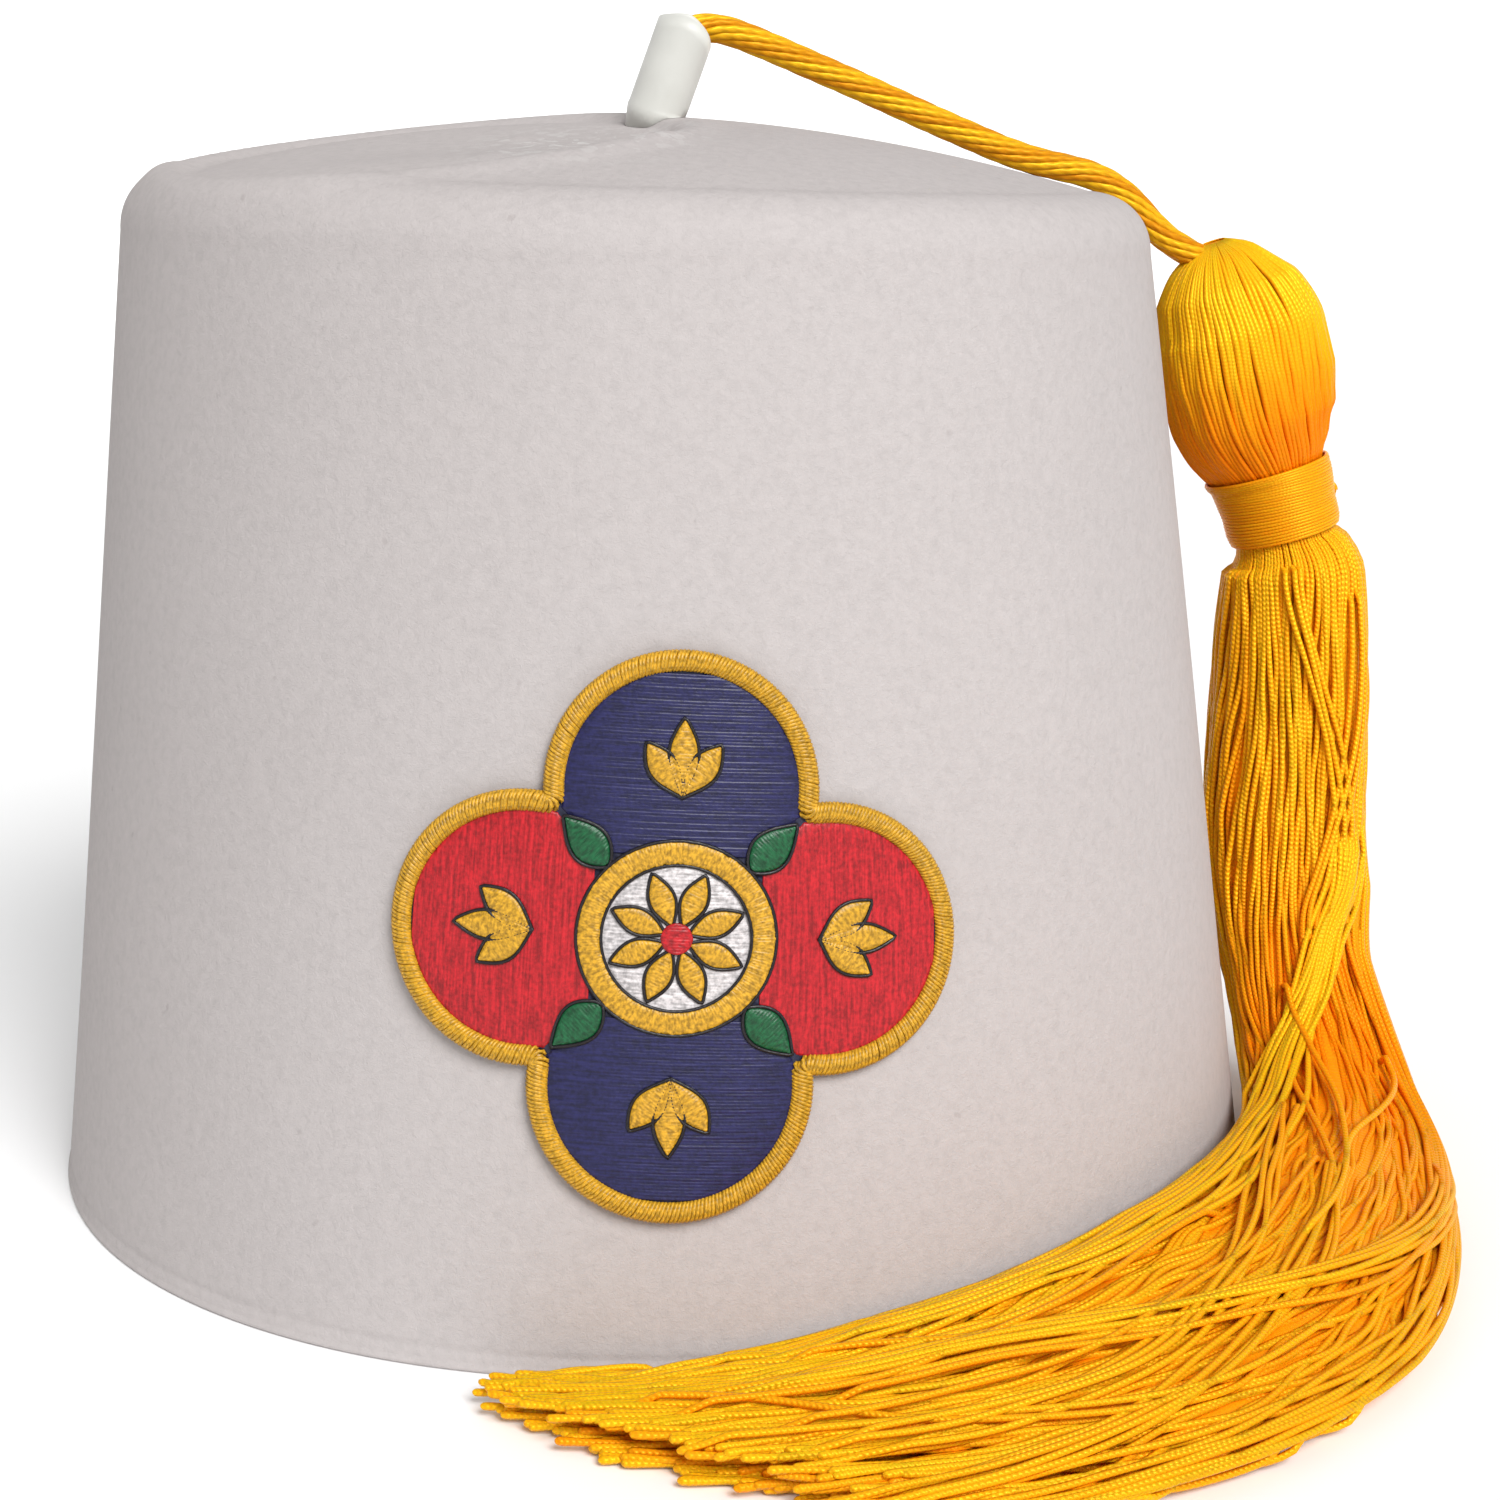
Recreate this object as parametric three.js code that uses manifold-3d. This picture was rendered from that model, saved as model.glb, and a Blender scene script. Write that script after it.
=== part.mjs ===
// Fez hat: a blocked felt crown with a leaning stem, a twisted cord, a long tassel and a sewn-on patch.
// Millimetres, +Z up. The rim stands on z = 0 and the patch faces -Y.

import * as THREE from 'three';
import { mergeVertices } from 'three/addons/utils/BufferGeometryUtils.js';
import Module from 'manifold-3d';

const wasm = await Module();
wasm.setup();

// Where the crown's own axis stands in the part's frame
const HAT_AXIS = new THREE.Vector3(-12, 21, 0);

// Crown: the felt's outer surface
const RIM_RADIUS = 93.2;
const TOP_RADIUS = 76.3;
const WALL_HEIGHT = 150.3;
const EDGE_RADIUS = 9;
const DOME_RISE = 9.4;
const FELT_THICKNESS = 2.5;
const CROWN_SIDES = 56;
const OUTSIDE_STEPS = { wall: 6, edge: 6, dome: 6 };
const INSIDE_STEPS = { wall: 3, edge: 3, dome: 4 };

// The top isn't level: it falls this much for each millimetre to the right and to the front
const FALL_TO_RIGHT = 0.045;
const FALL_TO_FRONT = 0.017;

// Shallow dish in the top, in front of the stem and to its left
const DISH = { x: -20, y: -20, halfWidth: 46, halfDepth: 30, depth: 2.6 };

// Pieces that touch on the real hat keep this much air
const GAP = 0.3;

// Stem. Its mouth is cut level on the left of its middle and falls on the right, under the cord.
const STEM = { footX: 3, diameter: 9, length: 14.6, leanDegrees: 21, mouthFallDegrees: 48, sides: 24 };
const CUTTER_SIZE = 40;

// Cord, with the points that its middle passes through, measured from the crown's axis
const CORD_DIAMETER = 4.4;
const CORD_SIDES = 8;
const CORD_STEPS = 40;
const CORD_ROUTE = [
  [5.6, 0.0, 170.7],
  [7.6, 0.1, 171.6],
  [9.8, 0.3, 172.2],
  [12.2, 0.6, 172.2],
  [14.6, 0.9, 171.7],
  [17.4, 1.3, 170.7],
  [22.0, 2.0, 168.8],
  [28.0, 2.9, 166.2],
  [34.0, 3.8, 163.6],
  [40.0, 4.7, 160.9],
  [46.0, 5.6, 158.2],
  [52.0, 6.5, 155.6],
  [57.0, 7.3, 153.5],
  [62.0, 8.0, 151.8],
  [66.5, 8.7, 150.7],
  [70.5, 9.2, 149.6],
  [74.2, 9.7, 147.8],
  [77.4, 10.1, 145.3],
  [80.0, 10.5, 142.5],
  [82.8, 10.9, 139.8],
  [85.8, 11.3, 137.8],
  [88.6, 11.8, 136.3],
];

// The cord's two ends sit in pockets, each over a share of the cord's length
const STEM_POCKET = { from: 0, to: 0.16 };
const TASSEL_POCKET = { from: 0.94, to: 1 };
const POCKET_STEPS = 6;
const POCKET_CLEARANCE = 0.36;

// Tassel: cross-sections of the whole bundle, from the top of its head to its far end on the ground.
// turn is the angle round the crown's axis from +X, reach the distance from it, height the middle's z,
// across half the width away from the wall, deep half the thickness, raise the inner side's upward tilt.
const TASSEL_SECTIONS = [
  { turn: 7.5, reach: 91.4, height: 138.9, across: 2.2, deep: 2.2, raise: 0 },
  { turn: 7.5, reach: 92.2, height: 136.4, across: 7.0, deep: 6.4, raise: 0 },
  { turn: 7.4, reach: 93.6, height: 131.5, across: 11.4, deep: 10.6, raise: 0 },
  { turn: 7.2, reach: 95.8, height: 125.0, across: 13.4, deep: 12.8, raise: 0 },
  { turn: 7.1, reach: 97.0, height: 118.0, across: 13.9, deep: 13.4, raise: 0 },
  { turn: 7.0, reach: 98.3, height: 111.0, across: 13.2, deep: 12.9, raise: 0 },
  { turn: 6.9, reach: 100.1, height: 105.6, across: 11.0, deep: 10.7, raise: 0 },
  { turn: 6.8, reach: 101.5, height: 101.6, across: 8.5, deep: 8.4, raise: 0 },
  { turn: 6.7, reach: 102.8, height: 96.8, across: 7.7, deep: 7.7, raise: 0 },
  { turn: 6.6, reach: 104.2, height: 91.6, across: 8.0, deep: 8.0, raise: 0 },
  { turn: 6.5, reach: 105.4, height: 86.6, across: 11.4, deep: 10.9, raise: 0 },
  { turn: 6.4, reach: 105.4, height: 76.0, across: 12.4, deep: 12.3, raise: 0 },
  { turn: 6.0, reach: 105.0, height: 61.0, across: 13.0, deep: 13.2, raise: 0 },
  { turn: 4.8, reach: 103.9, height: 46.0, across: 13.3, deep: 13.4, raise: 0 },
  { turn: 2.4, reach: 102.9, height: 33.0, across: 11.9, deep: 12.8, raise: 0 },
  { turn: -1.5, reach: 102.7, height: 23.5, across: 10.8, deep: 11.6, raise: 0 },
  { turn: -7.0, reach: 103.9, height: 15.0, across: 11.7, deep: 9.8, raise: 2 },
  { turn: -13.5, reach: 105.4, height: 10.2, across: 12.6, deep: 8.2, raise: 7 },
  { turn: -23.0, reach: 108.6, height: 7.8, across: 14.8, deep: 6.9, raise: 13 },
  { turn: -35.0, reach: 112.2, height: 6.9, across: 18.4, deep: 5.9, raise: 13 },
  { turn: -47.0, reach: 115.6, height: 6.1, across: 21.8, deep: 5.2, raise: 11 },
  { turn: -60.0, reach: 117.4, height: 5.1, across: 23.4, deep: 4.5, raise: 7 },
  { turn: -73.0, reach: 117.4, height: 4.1, across: 23.0, deep: 3.7, raise: 4 },
  { turn: -85.0, reach: 116.0, height: 3.3, across: 21.2, deep: 3.0, raise: 2 },
  { turn: -96.0, reach: 114.4, height: 2.7, across: 18.0, deep: 2.4, raise: 2 },
  { turn: -106.0, reach: 113.4, height: 2.3, across: 14.5, deep: 2.0, raise: 2 },
];
const NECK_TOP = 7;
const NECK_BOTTOM = 9;
const HEAD_SIDES = 16;
const HEAD_STEP = 0.5;
const HEAD_OVERLAP = 1;
const GROUND_CLEARANCE = 0.15;

// Locks of the tassel's skirt, in shares of the bundle's half-width and half-thickness
const LOCK_COUNT = 11;
const LOCK_OFFSET = 0.69;
const LOCK_RADIUS = 0.31;
const LOCK_SIDES = 7;
const LOCK_STEPS_PER_SECTION = 1.25;
const CORE_RADIUS = 0.66;
const CORE_SIDES = 12;
const CORE_START = NECK_BOTTOM + 0.5;
const LOCK_START = NECK_BOTTOM + 0.4;
const INNER_LOCK_END = 24.4;
const OUTER_LOCK_END = 22.4;
const LOCK_TAPER = 1.6;
const LOCK_TIP_WIDTH = 0.25;
const LOCK_STAGGER = 0.25;

// Thread bound round the tassel's neck
const WRAP_THICKNESS = 1.2;
const WRAP_BULGE = 0.3;
const WRAP_STEPS = 4;
const WRAP_SIDES = 24;

// Patch: four round lobes on the front of the wall
const PATCH = {
  turn: -87.8,
  height: 57,
  tiltDegrees: 3.5,
  lobeOffset: 18.5,
  lobeRadius: 15.5,
  thickness: 1.3,
  rings: 5,
  sides: 64,
};
const PATCH_BORDER = { width: 2.2, height: 1.9, sides: 6, steps: 88 };

// Closed mesh through rings of points. A pole closes an end, and a loop joins the last ring to the first.
function skin(rings, { poles = [], loop = false } = {}) {
  const sides = rings[0].length;
  const points = rings.flat().concat(poles);
  const faces = [];
  const lastStep = loop ? rings.length : rings.length - 1;
  for (let step = 0; step < lastStep; step += 1) {
    const next = (step + 1) % rings.length;
    for (let side = 0; side < sides; side += 1) {
      const a = step * sides + side;
      const b = step * sides + ((side + 1) % sides);
      const c = next * sides + side;
      const d = next * sides + ((side + 1) % sides);
      faces.push(a, b, d, a, d, c);
    }
  }
  if (!loop) {
    const firstPole = rings.length * sides;
    const lastRing = (rings.length - 1) * sides;
    for (let side = 0; side < sides; side += 1) {
      const next = (side + 1) % sides;
      faces.push(firstPole, next, side);
      faces.push(firstPole + 1, lastRing + side, lastRing + next);
    }
  }
  const geometry = new THREE.BufferGeometry();
  geometry.setAttribute('position', new THREE.Float32BufferAttribute(points.flatMap((p) => p.toArray()), 3));
  geometry.setIndex(signedVolume(points, faces) < 0 ? faces.reverse() : faces);
  return geometry;
}

function signedVolume(points, faces) {
  let volume = 0;
  for (let i = 0; i < faces.length; i += 3) {
    const [a, b, c] = [points[faces[i]], points[faces[i + 1]], points[faces[i + 2]]];
    volume += a.dot(b.clone().cross(c)) / 6;
  }
  return volume;
}

function middleOf(ring) {
  const sum = ring.reduce((total, point) => total.add(point), new THREE.Vector3());
  return sum.divideScalar(ring.length);
}

function cappedSkin(rings) {
  return skin(rings, { poles: [middleOf(rings[0]), middleOf(rings[rings.length - 1])] });
}

// Solids for joining and cutting
function toSolid(geometry) {
  const bare = geometry.clone();
  bare.deleteAttribute('normal');
  bare.deleteAttribute('uv');
  const merged = mergeVertices(bare, 1e-4);
  const mesh = new wasm.Mesh({
    numProp: 3,
    vertProperties: new Float32Array(merged.attributes.position.array),
    triVerts: new Uint32Array(merged.index.array),
  });
  return new wasm.Manifold(mesh);
}

function toGeometry(solid) {
  const mesh = solid.getMesh();
  const geometry = new THREE.BufferGeometry();
  geometry.setAttribute('position', new THREE.BufferAttribute(new Float32Array(mesh.vertProperties), 3));
  geometry.setIndex(new THREE.BufferAttribute(new Uint32Array(mesh.triVerts), 1));
  return geometry;
}

// Tube of round section along a curve
function tube(curve, diameter, steps, sides) {
  const section = new THREE.Shape();
  for (let side = 0; side <= sides; side += 1) {
    const angle = (side / sides) * 2 * Math.PI;
    const x = (diameter / 2) * Math.cos(angle);
    const y = (diameter / 2) * Math.sin(angle);
    if (side === 0) section.moveTo(x, y);
    else if (side < sides) section.lineTo(x, y);
    else section.closePath();
  }
  return new THREE.ExtrudeGeometry(section, { extrudePath: curve, steps, bevelEnabled: false });
}

function smoothStep(from, to, value) {
  const share = THREE.MathUtils.clamp((value - from) / (to - from), 0, 1);
  return share * share * (3 - 2 * share);
}

// Point of the felt, given on an upright figure of revolution, after the top's fall and dish
function feltPoint(turn, radius, height) {
  const x = radius * Math.cos(turn);
  const y = radius * Math.sin(turn);
  const fall = (FALL_TO_FRONT * y - FALL_TO_RIGHT * x) * (height / WALL_HEIGHT) ** 2;
  const spread = ((x - DISH.x) / DISH.halfWidth) ** 2 + ((y - DISH.y) / DISH.halfDepth) ** 2;
  const onTop = smoothStep(WALL_HEIGHT - EDGE_RADIUS, WALL_HEIGHT, height);
  const sink = spread < 1 ? DISH.depth * (1 - spread) ** 2 * onTop : 0;
  return new THREE.Vector3(x, y, height + fall - sink);
}

// Outer radius of the wall, below its rounded edge
function wallRadius(height) {
  return THREE.MathUtils.lerp(RIM_RADIUS, TOP_RADIUS, height / WALL_HEIGHT);
}

// Half-profile of the felt from the rim to near the middle of the top, as [radius, height] pairs
function crownProfile(inset, steps) {
  const wallTop = WALL_HEIGHT - EDGE_RADIUS;
  const edgeCentre = wallRadius(wallTop) - EDGE_RADIUS;
  const profile = [];
  for (let i = 0; i < steps.wall; i += 1) {
    const height = (wallTop * i) / steps.wall;
    profile.push([wallRadius(height) - inset, height]);
  }
  for (let i = 0; i <= steps.edge; i += 1) {
    const angle = (Math.PI / 2) * (i / steps.edge);
    const radius = EDGE_RADIUS - inset;
    profile.push([edgeCentre + radius * Math.cos(angle), wallTop + radius * Math.sin(angle)]);
  }
  for (let i = 1; i <= steps.dome; i += 1) {
    const share = 1 - i / (steps.dome + 1);
    profile.push([edgeCentre * share, WALL_HEIGHT - inset + DOME_RISE * (1 - share * share)]);
  }
  return profile;
}

function crownGeometry() {
  const outer = crownProfile(0, OUTSIDE_STEPS);
  const inner = crownProfile(FELT_THICKNESS, INSIDE_STEPS);
  const profile = [...outer.reverse(), ...inner];
  const rings = profile.map(([radius, height]) => {
    const ring = [];
    for (let side = 0; side < CROWN_SIDES; side += 1) {
      ring.push(feltPoint((side / CROWN_SIDES) * 2 * Math.PI, radius, height));
    }
    return ring;
  });
  const outerPole = feltPoint(0, 0, WALL_HEIGHT + DOME_RISE);
  const innerPole = feltPoint(0, 0, WALL_HEIGHT + DOME_RISE - FELT_THICKNESS);
  return skin(rings, { poles: [outerPole, innerPole] });
}

function cordCurve() {
  return new THREE.CatmullRomCurve3(CORD_ROUTE.map((point) => new THREE.Vector3(...point)));
}

// Room that the cord's end takes up in the piece that it goes into
function cordPocket({ from, to }) {
  const curve = cordCurve();
  const points = [];
  for (let i = 0; i <= POCKET_STEPS; i += 1) {
    points.push(curve.getPointAt(THREE.MathUtils.lerp(from, to, i / POCKET_STEPS)));
  }
  if (from === 0) points[0].addScaledVector(curve.getTangentAt(0), -GAP);
  else points[POCKET_STEPS].addScaledVector(curve.getTangentAt(1), GAP);
  const diameter = CORD_DIAMETER + 2 * POCKET_CLEARANCE;
  return toSolid(tube(new THREE.CatmullRomCurve3(points), diameter, POCKET_STEPS, 2 * CORD_SIDES));
}

// Block whose lower face passes through a point, turned about the y axis, to cut a mouth with
function cutterAbove(point, degrees) {
  const block = new THREE.BoxGeometry(CUTTER_SIZE, CUTTER_SIZE, CUTTER_SIZE);
  block.translate(0, 0, CUTTER_SIZE / 2);
  block.rotateY(THREE.MathUtils.degToRad(degrees));
  block.translate(...point.toArray());
  return toSolid(block);
}

function stemGeometry() {
  const { footX, diameter, length, leanDegrees, mouthFallDegrees, sides } = STEM;
  const lean = THREE.MathUtils.degToRad(leanDegrees);
  const foot = new THREE.Vector3(footX, 0, feltPoint(0, 0, WALL_HEIGHT + DOME_RISE).z - FALL_TO_RIGHT * footX);
  const mouthHeight = length * Math.cos(lean) + (diameter / 2) * Math.sin(lean);
  const mouth = foot.clone().add(new THREE.Vector3(mouthHeight * Math.tan(lean), 0, mouthHeight));
  const buried = diameter / 2;
  const fullLength = buried + length + diameter;
  const column = new THREE.CylinderGeometry(diameter / 2, diameter / 2, fullLength, sides);
  column.rotateX(Math.PI / 2);
  column.translate(0, 0, fullLength / 2 - buried);
  column.rotateY(lean);
  column.translate(...foot.toArray());
  const below = new THREE.BoxGeometry(CUTTER_SIZE, CUTTER_SIZE, CUTTER_SIZE);
  below.translate(0, 0, GAP - CUTTER_SIZE / 2);
  below.rotateY(Math.atan(FALL_TO_RIGHT));
  below.rotateX(Math.atan(FALL_TO_FRONT));
  below.translate(...foot.toArray());
  const solid = toSolid(column)
    .subtract(toSolid(below))
    .subtract(cutterAbove(mouth, 0))
    .subtract(cutterAbove(mouth, mouthFallDegrees))
    .subtract(cordPocket(STEM_POCKET));
  return toGeometry(solid);
}

// Middle line of the tassel, one unit of its parameter for each row of the table
const tasselLine = new THREE.CatmullRomCurve3(
  TASSEL_SECTIONS.map(({ turn, reach, height }) => {
    const angle = THREE.MathUtils.degToRad(turn);
    return new THREE.Vector3(reach * Math.cos(angle), reach * Math.sin(angle), height);
  }),
  false,
  'catmullrom',
  0.5,
);

function tasselColumn(name, section) {
  const low = Math.min(Math.floor(section), TASSEL_SECTIONS.length - 2);
  return THREE.MathUtils.lerp(TASSEL_SECTIONS[low][name], TASSEL_SECTIONS[low + 1][name], section - low);
}

// Point of the bundle at a section. u runs from the wall outwards, v from the back or underside to the
// front or top, both in shares of the half-width and half-thickness there, plus a fixed growth.
function bundlePoint(section, u, v, growth = 0) {
  const share = section / (TASSEL_SECTIONS.length - 1);
  const middle = tasselLine.getPoint(share);
  const along = tasselLine.getTangent(share);
  const outwards = new THREE.Vector3(middle.x, middle.y, 0).normalize();
  outwards.addScaledVector(along, -outwards.dot(along)).normalize();
  const upwards = along.clone().cross(outwards);
  const raise = -THREE.MathUtils.degToRad(tasselColumn('raise', section));
  const across = outwards.clone().multiplyScalar(Math.cos(raise)).addScaledVector(upwards, Math.sin(raise));
  const deep = along.clone().cross(across);
  const point = middle
    .addScaledVector(across, u * (tasselColumn('across', section) + growth))
    .addScaledVector(deep, v * (tasselColumn('deep', section) + growth));
  point.z = Math.max(point.z, GROUND_CLEARANCE);
  return point;
}

function bundleRing(section, u, v, radius, sides, growth = 0) {
  const ring = [];
  for (let side = 0; side < sides; side += 1) {
    const angle = (side / sides) * 2 * Math.PI;
    ring.push(bundlePoint(section, u + radius * Math.cos(angle), v + radius * Math.sin(angle), growth));
  }
  return ring;
}

// Lock that follows one place in the bundle and narrows to its tip
function lock(u, v, radius, sides, firstSection, lastSection) {
  const steps = Math.ceil((lastSection - firstSection) * LOCK_STEPS_PER_SECTION);
  const rings = [];
  for (let i = 0; i <= steps; i += 1) {
    const section = THREE.MathUtils.lerp(firstSection, lastSection, i / steps);
    const toTip = (lastSection - section) / LOCK_TAPER;
    const width = THREE.MathUtils.lerp(LOCK_TIP_WIDTH, 1, Math.sqrt(THREE.MathUtils.clamp(toTip, 0, 1)));
    rings.push(bundleRing(section, u, v, radius * width, sides));
  }
  return toSolid(cappedSkin(rings));
}

function tasselGeometry() {
  const headRings = [];
  for (let section = 0; section <= NECK_BOTTOM + HEAD_OVERLAP; section += HEAD_STEP) {
    headRings.push(bundleRing(section, 0, 0, 1, HEAD_SIDES));
  }
  let solid = toSolid(cappedSkin(headRings));
  solid = solid.add(lock(0, 0, CORE_RADIUS, CORE_SIDES, CORE_START, OUTER_LOCK_END));
  for (let i = 0; i < LOCK_COUNT; i += 1) {
    const angle = ((i + 0.5) / LOCK_COUNT) * 2 * Math.PI;
    const u = LOCK_OFFSET * Math.cos(angle);
    const v = LOCK_OFFSET * Math.sin(angle);
    const stagger = i % 2 === 0 ? LOCK_STAGGER : -LOCK_STAGGER;
    const end = THREE.MathUtils.lerp(INNER_LOCK_END, OUTER_LOCK_END, (u + 1) / 2) + stagger;
    solid = solid.add(lock(u, v, LOCK_RADIUS, LOCK_SIDES, LOCK_START, end));
  }
  return toGeometry(solid.subtract(cordPocket(TASSEL_POCKET)));
}

// Sleeve of thread round the neck, bulging a little at its middle
function wrapGeometry() {
  const outside = [];
  const inside = [];
  for (let i = 0; i <= WRAP_STEPS; i += 1) {
    const share = i / WRAP_STEPS;
    const section = THREE.MathUtils.lerp(NECK_TOP, NECK_BOTTOM, share);
    const bulge = Math.sin(Math.PI * share) * WRAP_BULGE;
    outside.push(bundleRing(section, 0, 0, 1, WRAP_SIDES, GAP + WRAP_THICKNESS + bulge));
    inside.push(bundleRing(section, 0, 0, 1, WRAP_SIDES, GAP));
  }
  return skin([...outside, ...inside.reverse()], { loop: true });
}

// Distance from the patch's middle to its edge, for four circles set round the middle
function patchEdge(angle) {
  const quarter = Math.PI / 2;
  const fromLobe = angle - quarter * Math.round(angle / quarter);
  const side = PATCH.lobeOffset * Math.sin(fromLobe);
  return PATCH.lobeOffset * Math.cos(fromLobe) + Math.sqrt(PATCH.lobeRadius ** 2 - side ** 2);
}

// Point over the wall: right and up are measured on the felt from the patch's middle, out from the felt
function onWall(right, up, out) {
  const tilt = -THREE.MathUtils.degToRad(PATCH.tiltDegrees);
  const x = right * Math.cos(tilt) - up * Math.sin(tilt);
  const y = right * Math.sin(tilt) + up * Math.cos(tilt);
  const lean = Math.atan((RIM_RADIUS - TOP_RADIUS) / WALL_HEIGHT);
  const height = PATCH.height + y * Math.cos(lean) + out * Math.sin(lean);
  const radius = wallRadius(PATCH.height + y * Math.cos(lean)) + out * Math.cos(lean);
  const turn = THREE.MathUtils.degToRad(PATCH.turn) + x / wallRadius(PATCH.height);
  return feltPoint(turn, radius, height);
}

function patchGeometry() {
  const layer = (share, out) => {
    const ring = [];
    for (let side = 0; side < PATCH.sides; side += 1) {
      const angle = (side / PATCH.sides) * 2 * Math.PI;
      const distance = share * patchEdge(angle);
      ring.push(onWall(distance * Math.cos(angle), distance * Math.sin(angle), out));
    }
    return ring;
  };
  const top = GAP + PATCH.thickness;
  const rings = [];
  for (let i = 1; i <= PATCH.rings; i += 1) rings.push(layer(i / PATCH.rings, GAP));
  for (let i = PATCH.rings; i >= 1; i -= 1) rings.push(layer(i / PATCH.rings, top));
  return skin(rings, { poles: [onWall(0, 0, GAP), onWall(0, 0, top)] });
}

function borderGeometry() {
  const { width, height, sides, steps } = PATCH_BORDER;
  const rings = [];
  for (let step = 0; step < steps; step += 1) {
    const angle = (step / steps) * 2 * Math.PI;
    const middle = patchEdge(angle) + GAP + width / 2;
    const ring = [];
    for (let side = 0; side < sides; side += 1) {
      const turn = (side / sides) * 2 * Math.PI;
      const distance = middle + (width / 2) * Math.cos(turn);
      const out = GAP + (height / 2) * (1 + Math.sin(turn));
      ring.push(onWall(distance * Math.cos(angle), distance * Math.sin(angle), out));
    }
    rings.push(ring);
  }
  return skin(rings, { loop: true });
}

function piece(name, geometry, color, roughness) {
  const mesh = new THREE.Mesh(geometry, new THREE.MeshStandardMaterial({ color, roughness, metalness: 0 }));
  mesh.name = name;
  return mesh;
}

const FELT_COLOUR = 0xdcd8d8;
const STEM_COLOUR = 0xe9eae6;
const GOLD_THREAD = 0xf7b50a;
const GOLD_EDGING = 0xcf9b1c;
const PATCH_CLOTH = 0x1f2f8a;

const hat = new THREE.Group();
hat.position.copy(HAT_AXIS);
hat.add(piece('crown', crownGeometry(), FELT_COLOUR, 0.95));
hat.add(piece('stem', stemGeometry(), STEM_COLOUR, 0.6));
hat.add(piece('cord', tube(cordCurve(), CORD_DIAMETER, CORD_STEPS, CORD_SIDES), GOLD_THREAD, 0.55));
hat.add(piece('tassel', tasselGeometry(), GOLD_THREAD, 0.55));
hat.add(piece('tassel_wrap', wrapGeometry(), GOLD_THREAD, 0.5));
hat.add(piece('patch', patchGeometry(), PATCH_CLOTH, 0.7));
hat.add(piece('patch_border', borderGeometry(), GOLD_EDGING, 0.6));

const group = new THREE.Group();
group.add(hat);

export default group;
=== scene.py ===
# %% [markdown]
# # A felt fez with a long gold tassel
#
# A fez is one piece of wool felt that is steamed and pulled over a wooden block. This lesson dresses a
# plain solid model of one with felt, twisted cord, tassel strands and embroidery. Every new shape is a
# function of two parameters that numpy works out as whole arrays, so nothing here loops over vertices.

# %% Load the plain solids
import math

import bpy
import numpy as np
from mathutils import Matrix, Vector


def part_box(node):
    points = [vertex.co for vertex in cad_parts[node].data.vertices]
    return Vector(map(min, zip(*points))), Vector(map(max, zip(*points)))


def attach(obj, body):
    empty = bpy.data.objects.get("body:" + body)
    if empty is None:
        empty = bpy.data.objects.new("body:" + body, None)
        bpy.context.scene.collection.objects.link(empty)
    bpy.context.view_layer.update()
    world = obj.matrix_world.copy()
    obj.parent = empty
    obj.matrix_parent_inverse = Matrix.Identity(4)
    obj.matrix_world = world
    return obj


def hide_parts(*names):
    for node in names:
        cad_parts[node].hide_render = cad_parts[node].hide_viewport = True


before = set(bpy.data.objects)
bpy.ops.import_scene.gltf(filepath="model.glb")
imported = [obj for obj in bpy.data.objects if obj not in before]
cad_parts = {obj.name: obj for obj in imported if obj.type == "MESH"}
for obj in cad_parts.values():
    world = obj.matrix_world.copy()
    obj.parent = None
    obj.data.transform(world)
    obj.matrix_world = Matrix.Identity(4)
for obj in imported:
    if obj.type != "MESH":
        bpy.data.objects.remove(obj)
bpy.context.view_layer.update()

crown_low, crown_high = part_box("crown")
AXIS = np.array([(crown_low.x + crown_high.x) / 2, (crown_low.y + crown_high.y) / 2, 0.0])
RIM_RADIUS = 0.0932
TURN = 2 * math.pi
BACKWARDS = np.array([0.0, 1.0, 0.0])


def put_in_scene(name, data):
    """New object with this mesh, light or camera, at the origin of the scene."""
    made = bpy.data.objects.new(name, data)
    bpy.context.scene.collection.objects.link(made)
    return made


print("crown's axis stands at", AXIS.round(4), "and its box is", round(crown_high.x - crown_low.x, 4), "wide")

# %% [markdown]
# ## The camera
#
# The picture was taken close up from in front, a little above the top of the hat. A camera is a matrix
# whose columns are its own right, up and backward directions. The lens's middle lies a little to the
# left of the picture's middle and above it, which Blender calls shift.

# %% Place the camera
IMAGE_SIZE = 1500
LENS_MIDDLE_PX = (644.6, 664.7)
FOCAL_LENGTH_PX = 2544.9
SENSOR_WIDTH_MM = 36.0
EYE = Vector((0.0, -0.3937, 0.1499))
AIM = Vector((0.0, 0.0, 0.075))
CAMERA_ROLL = 0.018

forward = (AIM - EYE).normalized()
level = Vector((1.0, 0.0, 0.0))
downward = forward.cross(level)
camera_right = math.cos(CAMERA_ROLL) * level + math.sin(CAMERA_ROLL) * downward
camera_down = math.cos(CAMERA_ROLL) * downward - math.sin(CAMERA_ROLL) * level
camera_place = Matrix((camera_right, -camera_down, -forward)).transposed().to_4x4()
camera_place.translation = EYE + Vector(AXIS)

camera_data = bpy.data.cameras.new("camera")
camera_data.sensor_width = SENSOR_WIDTH_MM
camera_data.lens = FOCAL_LENGTH_PX / IMAGE_SIZE * SENSOR_WIDTH_MM
camera_data.shift_x = 0.5 - LENS_MIDDLE_PX[0] / IMAGE_SIZE
camera_data.shift_y = LENS_MIDDLE_PX[1] / IMAGE_SIZE - 0.5
camera_data.clip_start = 0.01
camera = put_in_scene("camera", camera_data)
camera.matrix_world = camera_place
bpy.context.scene.camera = camera
print("lens of", round(camera_data.lens, 1), "mm with shift", round(camera_data.shift_x, 4),
      round(camera_data.shift_y, 4))

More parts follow.
